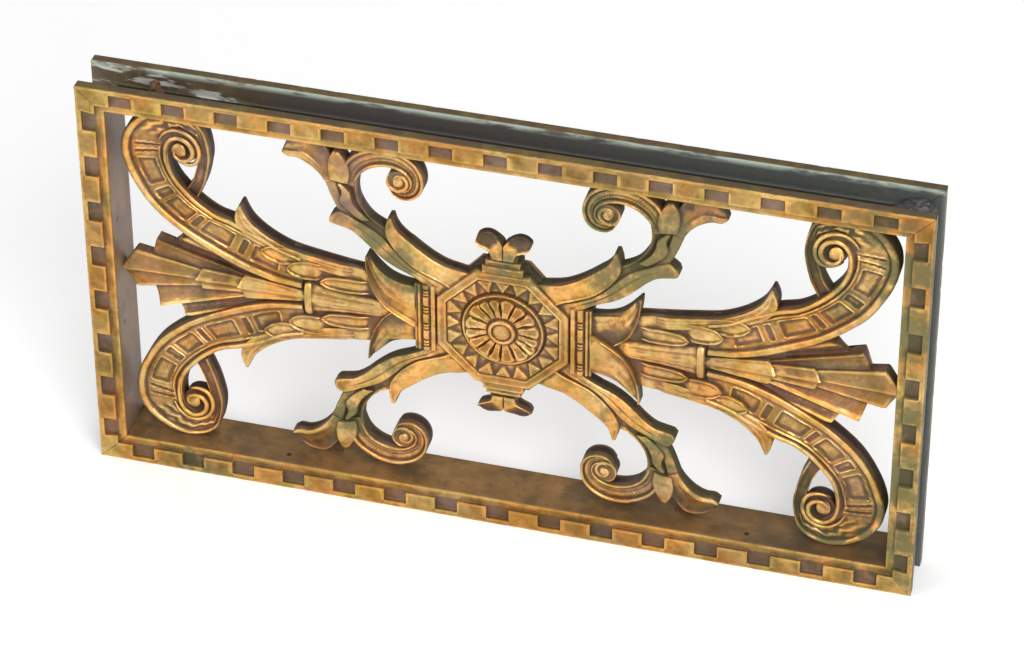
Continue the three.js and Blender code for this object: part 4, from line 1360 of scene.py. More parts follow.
@dataclass
class FrameBar:
    """Channel bar with a dentil fret along its front flange and mitred ends."""

    side: Side
    flange: float = 8.0
    web: float = 3.5
    pitch: float = 36.25
    gap: float = 15.2
    rim: float = 3.5
    reach: float = 13.0
    drop: float = 3.0
    air: float = 0.21
    corner: float = 0.4

    def section(self, cut: bool) -> tuple[np.ndarray, np.ndarray]:
        """Closed section of the bar as runs of points, each stopping short of its corners.

        Args:
            cut: True for the section through a gap of the fret.

        Returns:
            Points (across, depth), and how sunk each is: positive in inner corners, negative on edges.
        """
        face, deep, floor = BAR_FACE, DEPTH, BAR_FACE - self.web
        drop = self.drop
        wall = self.rim + 0.4
        runs = [((0, 0), (self.rim, 0), 5, -1, -1 if cut else 0)]
        if cut:
            runs += [((self.rim, 0), (wall, drop), 4, -1, 1), ((wall, drop), (12.2, drop), 12, 1, 0),
                     ((12.2, drop), (self.reach, drop), 4, 0, 0)]
        else:
            runs += [((self.rim, 0), (4.4, 0), 4, 0, 0), ((4.4, 0), (self.reach, 0), 12, 0, -1),
                     ((self.reach, 0), (self.reach, drop), 4, -1, 1)]
        runs += [((self.reach, drop), (face, drop), 6, 0 if cut else 1, -1),
                 ((face, drop), (face, deep), 16, -1, -1), ((face, deep), (0, deep), 8, -1, -1),
                 ((0, deep), (0, deep - self.flange), 5, -1, -1),
                 ((0, deep - self.flange), (floor, deep - self.flange), 8, -1, 1),
                 ((floor, deep - self.flange), (floor, self.flange), 9, 1, 1),
                 ((floor, self.flange), (0, self.flange), 8, 1, -1), ((0, self.flange), (0, 0), 5, -1, -1)]
        points, sunk = [], []
        for start, end, count, first, last in runs:
            start, end = np.array(start, float), np.array(end, float)
            length = np.linalg.norm(end - start)
            inset = min(self.corner, length / 5) / length
            lead, tail = (inset if first else 0.5 / count), (inset if last else 0.5 / count)
            share = np.linspace(lead, 1 - tail, count)
            points.append(start + (end - start) * share[:, None])
            reach = share * length, (1 - share) * length
            dirty = 0.7 if cut and start[1] == end[1] == drop and start[0] < self.reach else 0.0
            sunk.append(first * ramp(2.2, 0.2, reach[0]) + last * ramp(2.2, 0.2, reach[1]) + dirty)
        return np.vstack(points), np.concatenate(sunk)

    def stations(self, half: float) -> np.ndarray:
        """Places along the bar: even ones, with more on both sides of each gap's ends.

        Args:
            half: half the bar's length.

        Returns:
            Sorted places.
        """
        centres = self.gap_centres(half)
        edges = np.concatenate([centres - self.gap / 2, centres + self.gap / 2])
        fine = (edges[:, None] + np.array([-0.9, -0.3, -0.1, 0.1, 0.3, 0.9])).ravel()
        even = np.linspace(-half + BAR_FACE + 2, half - BAR_FACE - 2, int(half / 1.9))
        clear = np.min(np.abs(even[:, None] - edges), axis=1) > 1.4
        ends = np.linspace(0, 1, 9)[:-1]
        left = -half + ends * (BAR_FACE + 2)
        return np.sort(np.concatenate([left, even[clear], fine, -left]))

    def gap_centres(self, half: float) -> np.ndarray:
        """Middles of the fret's gaps along the bar."""
        count = math.ceil((2 * half - 2 * BAR_FACE) / self.pitch)
        return (np.arange(count) - (count - 1) / 2) * self.pitch

    def shell(self) -> tuple[Shell, np.ndarray]:
        """The bar, and how sunk each point is.

        A point is the blend of the block section and the gap section, by how far its place lies inside a gap.
        Near the ends the places are squeezed so that the last ones fall on the mitre.

        Returns:
            The closed surface in panel coordinates, and one value for each point.
        """
        upright = self.side.value[1]
        half = (HEIGHT if upright else WIDTH) / 2
        x = self.stations(half)[:, None]
        block, block_sunk = self.section(False)
        cut, cut_sunk = self.section(True)
        off = np.min(np.abs(x - self.gap_centres(half)), axis=1, keepdims=True)
        inside = ramp(self.gap / 2 + 0.3, self.gap / 2 - 0.3, off)
        beside = hump(off, self.gap / 2 + 0.5, 1.3) * (1 - inside)
        beside = beside - 0.9 * hump(off, self.gap / 2 - 0.8, 1.6) * inside
        across = block[:, 0] * (1 - inside) + cut[:, 0] * inside
        depth = block[:, 1] * (1 - inside) + cut[:, 1] * inside
        front = ramp(4.0, 2.0, depth)
        sunk = block_sunk * (1 - inside) + cut_sunk * inside
        sunk = sunk - beside * front * ramp(3.0, 4.2, across) * ramp(13.6, 12.6, across)
        fret_floor = 1.1 * inside * ramp(3.4, 4.4, across) * ramp(14, 12.8, across)
        sunk = sunk + fret_floor * ramp(2.0, 2.8, depth) * front
        place = x + 0 * across
        seed = 400 + 10 * list(Side).index(self.side)
        outer = ramp(1.2, 0.0, across) + ramp(1.4, 0.0, np.abs(depth - 0.5))
        wave = value_noise(place, across + depth, 9.0, seed) * 0.12
        wave = wave + value_noise(place, across, 2.6, seed + 1) * 0.07
        depth = depth + wave * front
        nick = np.clip(value_noise(place, depth * 0.3, 4.0, seed + 2) - 0.45, 0, 1) * 0.5
        across = across + nick * np.clip(outer, 0, 1) * ramp(2.0, 0.0, across)
        inner = half - BAR_FACE - 2
        limit = half - across - self.air
        beyond = np.clip((np.abs(place) - inner) / (half - inner), 0, 1)
        place = np.where(np.abs(place) > inner, np.sign(place) * (inner + beyond * (limit - inner)), place)
        y = depth - DEPTH / 2
        where = {Side.BOTTOM: (place, y, across), Side.TOP: (-place, y, HEIGHT - across),
                 Side.LEFT: (across - WIDTH / 2, y, MIDDLE_Z - place),
                 Side.RIGHT: (WIDTH / 2 - across, y, MIDDLE_Z + place)}[self.side]
        points = np.stack(where, -1).reshape(-1, 3)
        return Shell(points, tube_faces(*place.shape)).faced_out(), sunk.ravel()

    def build(self, material: bpy.types.Material, mask: Mask) -> None:
        """Makes the bar.

        Args:
            material: the frame's finish.
            mask: names of the attributes.
        """
        shell, sunk = self.shell()
        spots = {Side.RIGHT: ((272, 262, 26, 0.85), (270, 215, 30, 0.85), (270, 150, 30, 0.7),
                              (272, 95, 34, 0.85), (272, 40, 26, 0.8), (276, 15, 22, 0.6)),
                 Side.LEFT: ((-276, 200, 40, 0.35), (-276, 90, 30, 0.3)),
                 Side.TOP: ((250, 296, 60, 0.5), (-60, 290, 90, 0.15)),
                 Side.BOTTOM: ((-215, 10, 30, 0.55), (60, 10, 60, 0.3), (240, 10, 50, 0.4))}[self.side]
        worn = value_noise(shell.points[:, 0] + shell.points[:, 2], shell.points[:, 1] * 2, 7.0, 77) * 0.12
        # sunk darkens inner corners and the feet of the gap walls as dirt with painted shade, with the gap
        # floors darker still, and lightens outer edges as rubbing with painted highlights
        masks = {mask.fine: sunk * 0.32 + worn, mask.broad: np.clip(sunk, 0, 1.4) * 1.3,
                 mask.green: patch(shell.points, spots), mask.lilac: np.zeros(len(sunk))}
        node = self.side.value[0]
        seat(make_object(f"{node}_bronze", [shell], masks), material, Slot.FRAME, node)


@dataclass
class ChannelFittings:
    """What is left in the top channel: a rusty bolt with its nut, and a lump of old solder."""

    bolt_x: float = -236.0
    solder_x: float = 264.0
    floor: float = HEIGHT - BAR_FACE + 3.5
    stub: Points = ((0.3, 0.3), (3.5, 0.3), (3.5, 13.4), (2.8, 14.2), (0.3, 14.4))
    hexagon: Points = ((4.0, 0.3), (6.1, 0.4), (6.3, 1.0), (6.3, 5.4), (5.4, 6.2), (4.0, 6.3))
    nut_half: float = 5.75
    lump: Points = ((0.3, 0.3), (11.4, 0.35), (11.3, 4.0), (9.8, 7.6), (6.8, 10.0), (3.0, 11.2), (0.3, 11.4))
    thread_pitch: float = 1.25

    def upright(self, x: float, profile: Points, sides: int, rough: float, seed: int,
                squash: tuple[float, float] = (1.0, 1.0), thread: float = 0.0) -> Shell:
        """Body turned about an upright axis in the channel, with noise on its radius.

        The radius at a height is taken from the profile, plus noise, plus a thread wave if there is one.

        Args:
            x: place along the channel.
            profile: radius and height pairs from the floor up.
            sides: points around.
            rough: height of the noise.
            seed: number that fixes the noise.
            squash: factors along X and Y.
            thread: depth of the thread.

        Returns:
            The closed surface.
        """
        p = np.array(profile, float)
        run = run_length(p)
        s = np.linspace(0, run[-1], 48)
        radius, height = (np.interp(s, run, p[:, k])[:, None] for k in (0, 1))
        angle = np.arange(sides) * 2 * math.pi / sides + 0 * radius
        swell = rough * value_noise(angle * 4, height * 1.0 + 0 * angle, 1.0, seed)
        wave = thread * np.sin(2 * math.pi * height / self.thread_pitch - angle)
        radius = radius + (swell + wave) * ramp(0.2, 1.5, radius)
        points = np.stack([x + radius * np.cos(angle) * squash[0], radius * np.sin(angle) * squash[1],
                           self.floor + height + 0 * angle], -1)
        return Shell(points.reshape(-1, 3), tube_faces(len(s), sides)).faced_out()

    def nut(self) -> Shell:
        """Six-sided nut with rounded corners, rusted."""
        shell = self.upright(self.bolt_x, self.hexagon, 72, 0.22, 505)
        local = shell.points[:, :2] - (self.bolt_x, 0)
        angle = np.arctan2(local[:, 1], local[:, 0]) % (math.pi / 3) - math.pi / 6
        stretch = self.nut_half / max(r for r, _ in self.hexagon) / np.cos(angle)
        shell.points[:, :2] = (self.bolt_x, 0) + local * stretch[:, None]
        return shell

    def build(self, rust: bpy.types.Material, lead: bpy.types.Material) -> None:
        """Makes the bolt, the nut and the solder.

        Args:
            rust: finish of the bolt and nut.
            lead: finish of the solder.
        """
        bolt = self.upright(self.bolt_x, self.stub, 32, 0.15, 501, thread=0.22)
        solder = self.upright(self.solder_x + 3.0, self.lump, 96, 1.0, 509, squash=(1.34, 0.98))
        x, z = solder.points[:, 0], solder.points[:, 2]
        lean = np.clip((x - self.solder_x - 2) / 12, -1, 1)
        solder.points[:, 2] += 3.2 * lean * ramp(self.floor + 1, self.floor + 7, z)
        seat(make_object("bolt_stub", [bolt], {}), rust, Slot.RUST, "channel_bolt")
        seat(make_object("bolt_nut", [self.nut()], {}), rust, Slot.RUST, "channel_nut")
        seat(make_object("solder_blob", [solder], {}), lead, Slot.SOLDER, "solder_lump")


Socket = bpy.types.NodeSocket


@dataclass
class Wiring:
    """Small helper that adds nodes to a tree and joins them."""

    tree: bpy.types.NodeTree

    def node(self, kind: str, **values: object) -> bpy.types.Node:
        """Adds a node and sets its properties.

        Args:
            kind: node type.
            values: property names and values.

        Returns:
            The node.
        """
        made = self.tree.nodes.new(kind)
        for key, value in values.items():
            setattr(made, key, value)
        return made

    def feed(self, socket: Socket, value: object) -> None:
        """Links a socket to another, or sets its value.

        Args:
            socket: input socket.
            value: output socket, number or colour.
        """
        if isinstance(value, bpy.types.NodeSocket):
            self.tree.links.new(value, socket)
        else:
            socket.default_value = value

    def math(self, how: str, *values: object, clamp: bool = False) -> Socket:
        """Arithmetic on numbers.

        Args:
            how: operation.
            values: inputs.
            clamp: keep the result between 0 and 1.

        Returns:
            The output.
        """
        made = self.node("ShaderNodeMath", operation=how, use_clamp=clamp)
        for socket, value in zip(made.inputs, values):
            self.feed(socket, value)
        return made.outputs[0]

    def times(self, one: object, other: object) -> Socket:
        """Product of two values."""
        return self.math("MULTIPLY", one, other)

    def plus(self, one: object, other: object) -> Socket:
        """Sum of two values."""
        return self.math("ADD", one, other)

    def sway(self, value: object, middle: float, gain: float) -> Socket:
        """How far a value lies from a middle, times a gain."""
        return self.times(self.math("SUBTRACT", value, middle), gain)

    def axes(self, place: Socket) -> tuple[Socket, Socket, Socket]:
        """X, Y and Z of a place."""
        split = self.node("ShaderNodeSeparateXYZ")
        self.feed(split.inputs[0], place)
        return tuple(split.outputs)

    def span(self, value: object, low: float, high: float, to_low: float = 0.0,
             to_high: float = 1.0) -> Socket:
        """Maps a value smoothly from one range to another.

        Args:
            value: input.
            low: start of the range.
            high: end of the range.
            to_low: result at the start.
            to_high: result at the end.

        Returns:
            The output.
        """
        made = self.node("ShaderNodeMapRange", interpolation_type="SMOOTHSTEP")
        for socket, item in zip(made.inputs, (value, low, high, to_low, to_high)):
            self.feed(socket, item)
        return made.outputs[0]

    def blend(self, share: object, one: object, other: object, how: str = "MIX") -> Socket:
        """Blends two colours.

        Args:
            share: share of the second.
            one: first colour.
            other: second colour.
            how: blend type.

        Returns:
            The output.
        """
        made = self.node("ShaderNodeMix", data_type="RGBA", blend_type=how)
        for name, value in (("Factor", share), ("A", one), ("B", other)):
            matches = [s for s in made.inputs if s.name == name and s.enabled]
            self.feed(matches[0], value)
        return [s for s in made.outputs if s.enabled][0]

    def noise(self, place: Socket, scale: float, detail: float = 4.0, rough: float = 0.6) -> Socket:
        """Noise at a place.

        Args:
            place: coordinates.
            scale: features to a metre.
            detail: octaves.
            rough: share of each finer octave.

        Returns:
            The value output.
        """
        made = self.node("ShaderNodeTexNoise")
        self.feed(made.inputs["Vector"], place)
        for name, value in (("Scale", scale), ("Detail", detail), ("Roughness", rough)):
            made.inputs[name].default_value = value
        return made.outputs["Fac"]


def shade_group(name: str, inputs: dict[str, tuple[str, object]], outputs: dict[str, str]) -> tuple:
    """Makes an empty node group with named sockets.

    Args:
        name: name of the group.
        inputs: socket name to its kind and default.
        outputs: socket name to its kind.

    Returns:
        The group, its wiring, its input node and its output node.
    """
    tree = bpy.data.node_groups.new(name, "ShaderNodeTree")
    for label, (kind, default) in inputs.items():
        socket = tree.interface.new_socket(label, in_out="INPUT", socket_type=kind)
        if default is not None:
            socket.default_value = default
    for label, kind in outputs.items():
        tree.interface.new_socket(label, in_out="OUTPUT", socket_type=kind)
    wires = Wiring(tree)
    return tree, wires, wires.node("NodeGroupInput"), wires.node("NodeGroupOutput")


NUMBER = "NodeSocketFloat"
COLOUR = "NodeSocketColor"
VECTOR = "NodeSocketVector"


def patina_and_painted_light_group() -> bpy.types.NodeTree:
    """Patina and painted light: blends recess, body and crest colours by depth, and breaks them up with
    mottling.
    The recess and deep colours in hollows are dirt darkened as painted shade; the crest colour on ridges is
    rubbed bronze brightened as a painted highlight.

    Returns:
        The group, with outputs for colour, roughness and metal share.
    """
    numbers = {label: (NUMBER, 0.0) for label in ("Fine", "Broad", "Green", "Lilac")}
    colours = {label: (COLOUR, None) for label in ("Crest", "Body", "Recess", "Deep", "Verdigris", "Bloom")}
    tree, w, given, out = shade_group(
        "patina_and_painted_light", {"Place": (VECTOR, None), **numbers, **colours, "Wear": (NUMBER, 0.5)},
        {"Colour": COLOUR, "Roughness": NUMBER, "Metal": NUMBER})
    place = given.outputs["Place"]
    cloud = w.noise(place, 38.0, 5.0, 0.62)
    speck = w.noise(place, 420.0, 4.0, 0.65)
    smear = w.noise(place, 120.0, 5.0, 0.6)
    fine, broad = given.outputs["Fine"], given.outputs["Broad"]
    # Depth below the blurred front: hollows get the recess colour and the deepest the deep colour, dirt
    # darkened as painted shade
    depth = w.plus(w.times(fine, 1.5), w.times(broad, 0.34))
    depth = w.plus(depth, w.sway(smear, 0.5, 1.0))
    recess = w.span(depth, 0.0, 1.25)
    deep = w.span(w.plus(broad, w.sway(cloud, 0.5, 2.0)), 1.6, 4.2)
    # Crests get the crest colour: rubbed bronze brightened as a painted highlight
    lift = w.math("SUBTRACT", w.times(given.outputs["Wear"], 0.6), w.times(fine, 2.4))
    lift = w.plus(lift, w.sway(cloud, 0.5, 1.6))
    lift = w.plus(lift, w.sway(speck, 0.5, 0.6))
    crest = w.span(lift, 0.05, 1.05)
    crest = w.times(crest, w.math("SUBTRACT", 1.0, recess, clamp=True))
    colour = w.blend(recess, given.outputs["Body"], given.outputs["Recess"])
    colour = w.blend(deep, colour, given.outputs["Deep"])
    colour = w.blend(crest, colour, given.outputs["Crest"])
    tone = w.span(w.noise(place, 75.0, 6.0, 0.7), 0.3, 0.72, 0.72, 1.2)
    shade = w.node("ShaderNodeCombineColor")
    for socket in shade.inputs:
        w.feed(socket, tone)
    colour = w.blend(0.8, colour, shade.outputs[0], "MULTIPLY")
    for scale, low, high, share, tint in ((27.0, 0.44, 0.58, 0.85, (1.12, 0.86, 0.60, 1)),
                                          (46.0, 0.46, 0.60, 0.85, (0.74, 0.80, 0.56, 1)),
                                          (19.0, 0.46, 0.64, 0.75, (0.68, 0.60, 0.60, 1)),
                                          (110.0, 0.5, 0.68, 0.6, (0.66, 0.60, 0.56, 1))):
        area = w.times(w.span(w.noise(place, scale, 5.0, 0.66), low, high), share)
        colour = w.blend(area, colour, tint, "MULTIPLY")
    lilac = w.times(given.outputs["Lilac"], w.span(cloud, 0.36, 0.6))
    colour = w.blend(lilac, colour, given.outputs["Bloom"])
    seep = w.plus(w.times(given.outputs["Green"], 1.3), w.times(recess, 0.26))
    green = w.span(w.plus(seep, w.sway(smear, 0.55, 1.9)), 0.3, 0.95)
    # Verdigris in hollows darkens towards the deep colour: painted shade
    verdigris_and_shade = w.blend(w.times(recess, 0.6), given.outputs["Verdigris"], given.outputs["Deep"])
    colour = w.blend(w.times(green, 0.88), colour, verdigris_and_shade)
    rough = w.plus(0.42, w.times(recess, 0.24))
    rough = w.plus(rough, w.times(green, 0.2))
    rough = w.plus(rough, w.sway(speck, 0.5, 0.28))
    metal = w.math("SUBTRACT", 0.86, w.times(w.math("MAXIMUM", recess, green), 0.55))
    for name, value in (("Colour", colour), ("Roughness", rough), ("Metal", metal)):
        w.feed(out.inputs[name], value)
    return tree


SOFT_HEIGHT = 0.00026
PIT_HEIGHT = 0.00014
FILE_HEIGHT = 0.00007


def grain_group() -> bpy.types.NodeTree:
    """Cast skin: soft unevenness, pitting and fine file marks, as a height in metres.

    Returns:
        The group, with one height output.
    """
    tree, w, given, out = shade_group("cast_grain", {"Place": (VECTOR, None), "Depth": (NUMBER, 1.0)},
                                      {"Height": NUMBER})
    place = given.outputs["Place"]
    soft = w.times(w.noise(place, 260.0, 3.0, 0.5), SOFT_HEIGHT)
    pits = w.times(w.span(w.noise(place, 900.0, 3.0, 0.6), 0.25, 0.45), PIT_HEIGHT)
    fine = w.times(w.noise(place, 2200.0, 2.0, 0.5), FILE_HEIGHT)
    total = w.plus(w.plus(soft, pits), fine)
    w.feed(out.inputs["Height"], w.times(total, given.outputs["Depth"]))
    return tree


def grain_bump(w: Wiring, grain: bpy.types.NodeTree, place: Socket, depth: float, strength: float) -> Socket:
    """Normal of the surface, tilted by the cast skin.

    Args:
        w: wiring of the material.
        grain: the cast skin group.
        place: object coordinates.
        depth: factor on the skin's height.
        strength: share of the tilt that is kept.

    Returns:
        The normal output.
    """
    texture = w.node("ShaderNodeGroup", node_tree=grain)
    w.feed(texture.inputs["Place"], place)
    texture.inputs["Depth"].default_value = depth
    bump = w.node("ShaderNodeBump")
    bump.inputs["Strength"].default_value = strength
    w.feed(bump.inputs["Height"], texture.outputs["Height"])
    return bump.outputs[0]


@dataclass(frozen=True)
class Bronze:
    """Aged bronze: crest colour for rubbed edges with painted highlights, body colour, recess and deep
    colours for dirt with painted shade, verdigris and a lilac bloom.
    """

    name: str
    # crest is rubbed bronze brightened as a painted highlight; recess and deep are dirt in hollows darkened
    # as painted shade
    crest: tuple = (0.76, 0.50, 0.195, 1)
    body: tuple = (0.44, 0.256, 0.098, 1)
    recess: tuple = (0.17, 0.103, 0.068, 1)
    deep: tuple = (0.042, 0.026, 0.015, 1)
    verdigris: tuple = (0.115, 0.112, 0.038, 1)
    bloom: tuple = (0.2, 0.13, 0.12, 1)
    wear: float = 0.6
    grain: float = 1.0
    grain_strength: float = 0.8

    def start(self) -> tuple[bpy.types.Material, Wiring, bpy.types.Node]:
        """A new material with its shader and output joined."""
        material = bpy.data.materials.new(self.name)
        material.use_nodes = True
        material.node_tree.nodes.clear()
        w = Wiring(material.node_tree)
        shader = w.node("ShaderNodeBsdfPrincipled")
        w.feed(w.node("ShaderNodeOutputMaterial").inputs["Surface"], shader.outputs[0])
        return material, w, shader

    def make(self, patina_and_painted_light: bpy.types.NodeTree, grain: bpy.types.NodeTree, mask: Mask) -> bpy.types.Material:
        """Builds the material.

        Args:
            patina_and_painted_light: the patina group.
            grain: the cast skin group.
            mask: names of the attributes.

        Returns:
            The material.
        """
        material, w, shader = self.start()
        place = w.node("ShaderNodeTexCoord").outputs["Object"]
        skin = w.node("ShaderNodeGroup", node_tree=patina_and_painted_light)
        w.feed(skin.inputs["Place"], place)
        for label, attribute in (("Fine", mask.fine), ("Broad", mask.broad), ("Green", mask.green),
                                 ("Lilac", mask.lilac)):
            w.feed(skin.inputs[label], w.node("ShaderNodeAttribute", attribute_name=attribute).outputs["Fac"])
        for label, value in (("Crest", self.crest), ("Body", self.body), ("Recess", self.recess),
                             ("Deep", self.deep), ("Verdigris", self.verdigris), ("Bloom", self.bloom),
                             ("Wear", self.wear)):
            skin.inputs[label].default_value = value
        tilt = grain_bump(w, grain, place, self.grain, self.grain_strength)
        w.feed(shader.inputs["Base Color"], self.colour(w, skin, place))
        w.feed(shader.inputs["Roughness"], skin.outputs["Roughness"])
        w.feed(shader.inputs["Metallic"], self.metal(w, skin, place))
        w.feed(shader.inputs["Normal"], tilt)
        return material

    def colour(self, w: Wiring, skin: bpy.types.Node, place: Socket) -> Socket:
        """Colour of the surface; the plain bronze takes the patina's own.

        Args:
            w: wiring of the material.
            skin: the patina node.
            place: object coordinates.

        Returns:
            The colour output.
        """
        return skin.outputs["Colour"]

    def metal(self, w: Wiring, skin: bpy.types.Node, place: Socket) -> Socket:
        """Metal share of the surface: the patina's own."""
        return skin.outputs["Metal"]


@dataclass(frozen=True)
class FrameBronze(Bronze):
    """Bronze of the frame: rubbed gold in front, brown on the reveals with painted light on the left one,
    slate and plaster in the channels, and near-black painted shade on the channel floor and in the screw
    holes.
    """

    slate: tuple = (0.085, 0.078, 0.082, 1)
    teal: tuple = (0.085, 0.10, 0.10, 1)
    brown: tuple = (0.21, 0.112, 0.034, 1)
    tan: tuple = (0.36, 0.19, 0.06, 1)
    umber: tuple = (0.098, 0.066, 0.033, 1)
    olive: tuple = (0.135, 0.104, 0.035, 1)
    # near-black: painted shade on the channel floor and in the screw holes
    pitch: tuple = (0.022, 0.018, 0.009, 1)
    plaster: tuple = (0.56, 0.57, 0.53, 1)
    chalk: tuple = (0.36, 0.42, 0.34, 1)
    # pale grey-lilac: painted light that the left reveal catches from the pale surround
    lit_reveal_grey: tuple = (0.195, 0.15, 0.132, 1)
    screws: tuple = ((-0.152, -0.007, 0.0175), (0.170, -0.007, 0.0175), (-0.2675, -0.006, 0.194),
                     (-0.2675, -0.006, 0.109))

    def band(self, w: Wiring, value: Socket, low: float, high: float, soft: float) -> Socket:
        """1 between two places along an axis, with soft ends.

        Args:
            w: wiring.
            value: coordinate.
            low: start.
            high: end.
            soft: width of an end.

        Returns:
            The mask.
        """
        rise = w.span(value, low - soft, low + soft)
        fall = w.span(value, high - soft, high + soft, 1.0, 0.0)
        return w.times(rise, fall)

    def metal(self, w: Wiring, skin: bpy.types.Node, place: Socket) -> Socket:
        """Metal share: the patina's own in front, little under the crusts behind it."""
        return w.times(skin.outputs["Metal"], w.span(self.rear(w, place), 0.0, 1.0, 1.0, 0.25))

    def beyond(self, w: Wiring, place: Socket, across: Sequence[float], up: Sequence[float]) -> Socket:
        """1 outside an upright oblong round the panel's middle.

        Args:
            w: wiring.
            place: object coordinates.
            across: where the soft edge begins and ends, right and left of the middle.
            up: the same, above and below the middle.

        Returns:
            The mask.
        """
        x, _, z = w.axes(place)
        away_x = w.math("ABSOLUTE", x)
        away_z = w.math("ABSOLUTE", w.math("SUBTRACT", z, MIDDLE_Z * MM))
        return w.math("MAXIMUM", w.span(away_x, *across), w.span(away_z, *up))

    def rear(self, w: Wiring, place: Socket) -> Socket:
        """1 on everything behind the face: the reveals, the back, and the outer faces of the flanges.

        Args:
            w: wiring.
            place: object coordinates.

        Returns:
            The mask.
        """
        y = w.axes(place)[1]
        ragged = w.sway(w.noise(place, 150.0), 0.5, 0.0024)
        outer = w.times(self.beyond(w, place, (0.2845, 0.2848), (0.1520, 0.1523)),
                       w.span(w.plus(y, ragged), -0.0196, -0.0190))
        return w.math("MAXIMUM", w.span(y, -0.0166, -0.0156), outer)

    def holes(self, w: Wiring, place: Socket) -> Socket:
        """1 at the screw holes in the reveals, by distance from the middle of each; the holes are painted
        black as their shaded insides.

        Args:
            w: wiring.
            place: object coordinates.

        Returns:
            The mask.
        """
        total = 0.0
        for centre in self.screws:
            away = w.node("ShaderNodeVectorMath", operation="DISTANCE")
            w.feed(away.inputs[0], place)
            away.inputs[1].default_value = centre
            total = w.math("MAXIMUM", total, w.span(away.outputs["Value"], 0.0016, 0.0024, 1.0, 0.0))
        return total

    def colour(self, w: Wiring, skin: bpy.types.Node, place: Socket) -> Socket:
        """Patina in front; the channel, the reveals and the back have colours of their own, with painted
        shade on the channel floor and in the screw holes and painted light on the left reveal.

        Args:
            w: wiring of the material.
            skin: the patina node.
            place: object coordinates.

        Returns:
            The colour output.
        """
        x, y, z = w.axes(place)
        mottled = w.noise(place, 60.0, 6.0, 0.65)
        fine = w.noise(place, 340.0, 5.0, 0.7)
        stretch = w.node("ShaderNodeMapping", vector_type="POINT")
        stretch.inputs["Scale"].default_value = (0.2, 1.0, 1.0)
        w.feed(stretch.inputs["Vector"], place)
        streak = w.noise(stretch.outputs[0], 200.0, 5.0, 0.65)
        flake = w.noise(stretch.outputs[0], 105.0, 6.0, 0.6)
        outside = self.beyond(w, place, (0.2690, 0.2696), (0.1366, 0.1372))
        soft_brown = w.blend(w.span(mottled, 0.3, 0.7), self.brown, self.tan)
        dim = w.plus(w.span(x, 0.02, 0.26, 0.05, 0.6),
                     w.span(w.noise(place, 16.0), 0.45, 0.65, 0.0, 0.4))
        soft_brown = w.blend(dim, soft_brown, self.umber)
        soft_brown = w.blend(w.span(streak, 0.52, 0.72, 0.0, 0.4), soft_brown, self.tan)
        # Random darker mottling over the reveals
        dark_mottle = w.span(w.noise(place, 40.0, 6.0, 0.7), 0.46, 0.62, 0.0, 0.65)
        soft_brown = w.blend(dark_mottle, soft_brown, self.umber)
        base = w.blend(w.times(w.span(fine, 0.42, 0.72), 0.3), soft_brown, self.recess)
        # The left reveal lightened to grey-lilac: painted light from the pale surround
        left = w.times(w.span(x, -0.2668, -0.2662, 1.0, 0.0), w.span(x, -0.2672, -0.2668))
        base = w.blend(w.times(left, w.span(mottled, 0.2, 0.55, 0.6, 1.0)), base, self.lit_reveal_grey)
        # Screw holes painted near-black: painted shade inside them
        base = w.blend(self.holes(w, place), base, self.pitch)
        tops = w.times(outside, w.span(fine, 0.3, 0.6, 0.6, 0.95))
        base = w.blend(tops, base, w.blend(w.span(mottled, 0.45, 0.6), self.umber, self.olive))
        blue = w.blend(w.span(x, -0.05, 0.16), self.slate, self.teal)
        slate = w.blend(w.span(fine, 0.44, 0.62, 0.0, 0.5), blue, self.umber)
        # Channel floor painted near-black: painted shade down in the channel
        inside = w.times(outside, self.band(w, y, -0.0117, 0.0115, 0.0008))
        base = w.blend(inside, base, self.pitch)
        wall = w.times(outside, self.band(w, y, 0.0113, 0.0132, 0.0004))
        base = w.blend(w.times(wall, w.span(x, -0.2, -0.13, 0.25, 0.95)), base, slate)
        white_end = w.span(x, -0.262, -0.150, 1.0, 0.0)
        flaky = w.span(w.plus(flake, w.times(white_end, 0.06)), 0.575, 0.64)
        there = w.times(w.span(white_end, 0, 0.3), w.span(z, 0.2892, 0.2900))
        white = w.times(w.times(flaky, there), self.band(w, y, -0.002, 0.0128, 0.0012))
        base = w.blend(white, base, self.plaster)
        line = w.times(self.band(w, y, 0.0114, 0.0136, 0.0004), w.span(z, 0.3005, 0.3040))
        line = w.times(line, w.span(streak, 0.36, 0.56))
        base = w.blend(w.times(line, 0.85), base, self.chalk)
        return w.blend(self.rear(w, place), skin.outputs["Colour"], base)


@dataclass(frozen=True)
class Crust:
    """Plain rough finish of two mottled colours, for rust and for old solder."""

    name: str
    light: tuple
    dark: tuple
    metal: float
    rough: float
    grain: float = 2.5

    def make(self, grain: bpy.types.NodeTree) -> bpy.types.Material:
        """Builds the material.

        Args:
            grain: the cast skin group.

        Returns:
            The material.
        """
        material, w, shader = Bronze(self.name).start()
        place = w.node("ShaderNodeTexCoord").outputs["Object"]
        mottle = w.span(w.noise(place, 320.0, 6.0, 0.7), 0.38, 0.62)
        w.feed(shader.inputs["Base Color"], w.blend(mottle, self.dark, self.light))
        w.feed(shader.inputs["Roughness"], w.span(mottle, 0.0, 1.0, self.rough, self.rough - 0.2))
        shader.inputs["Metallic"].default_value = self.metal
        w.feed(shader.inputs["Normal"], grain_bump(w, grain, place, self.grain, 1.0))
        return material


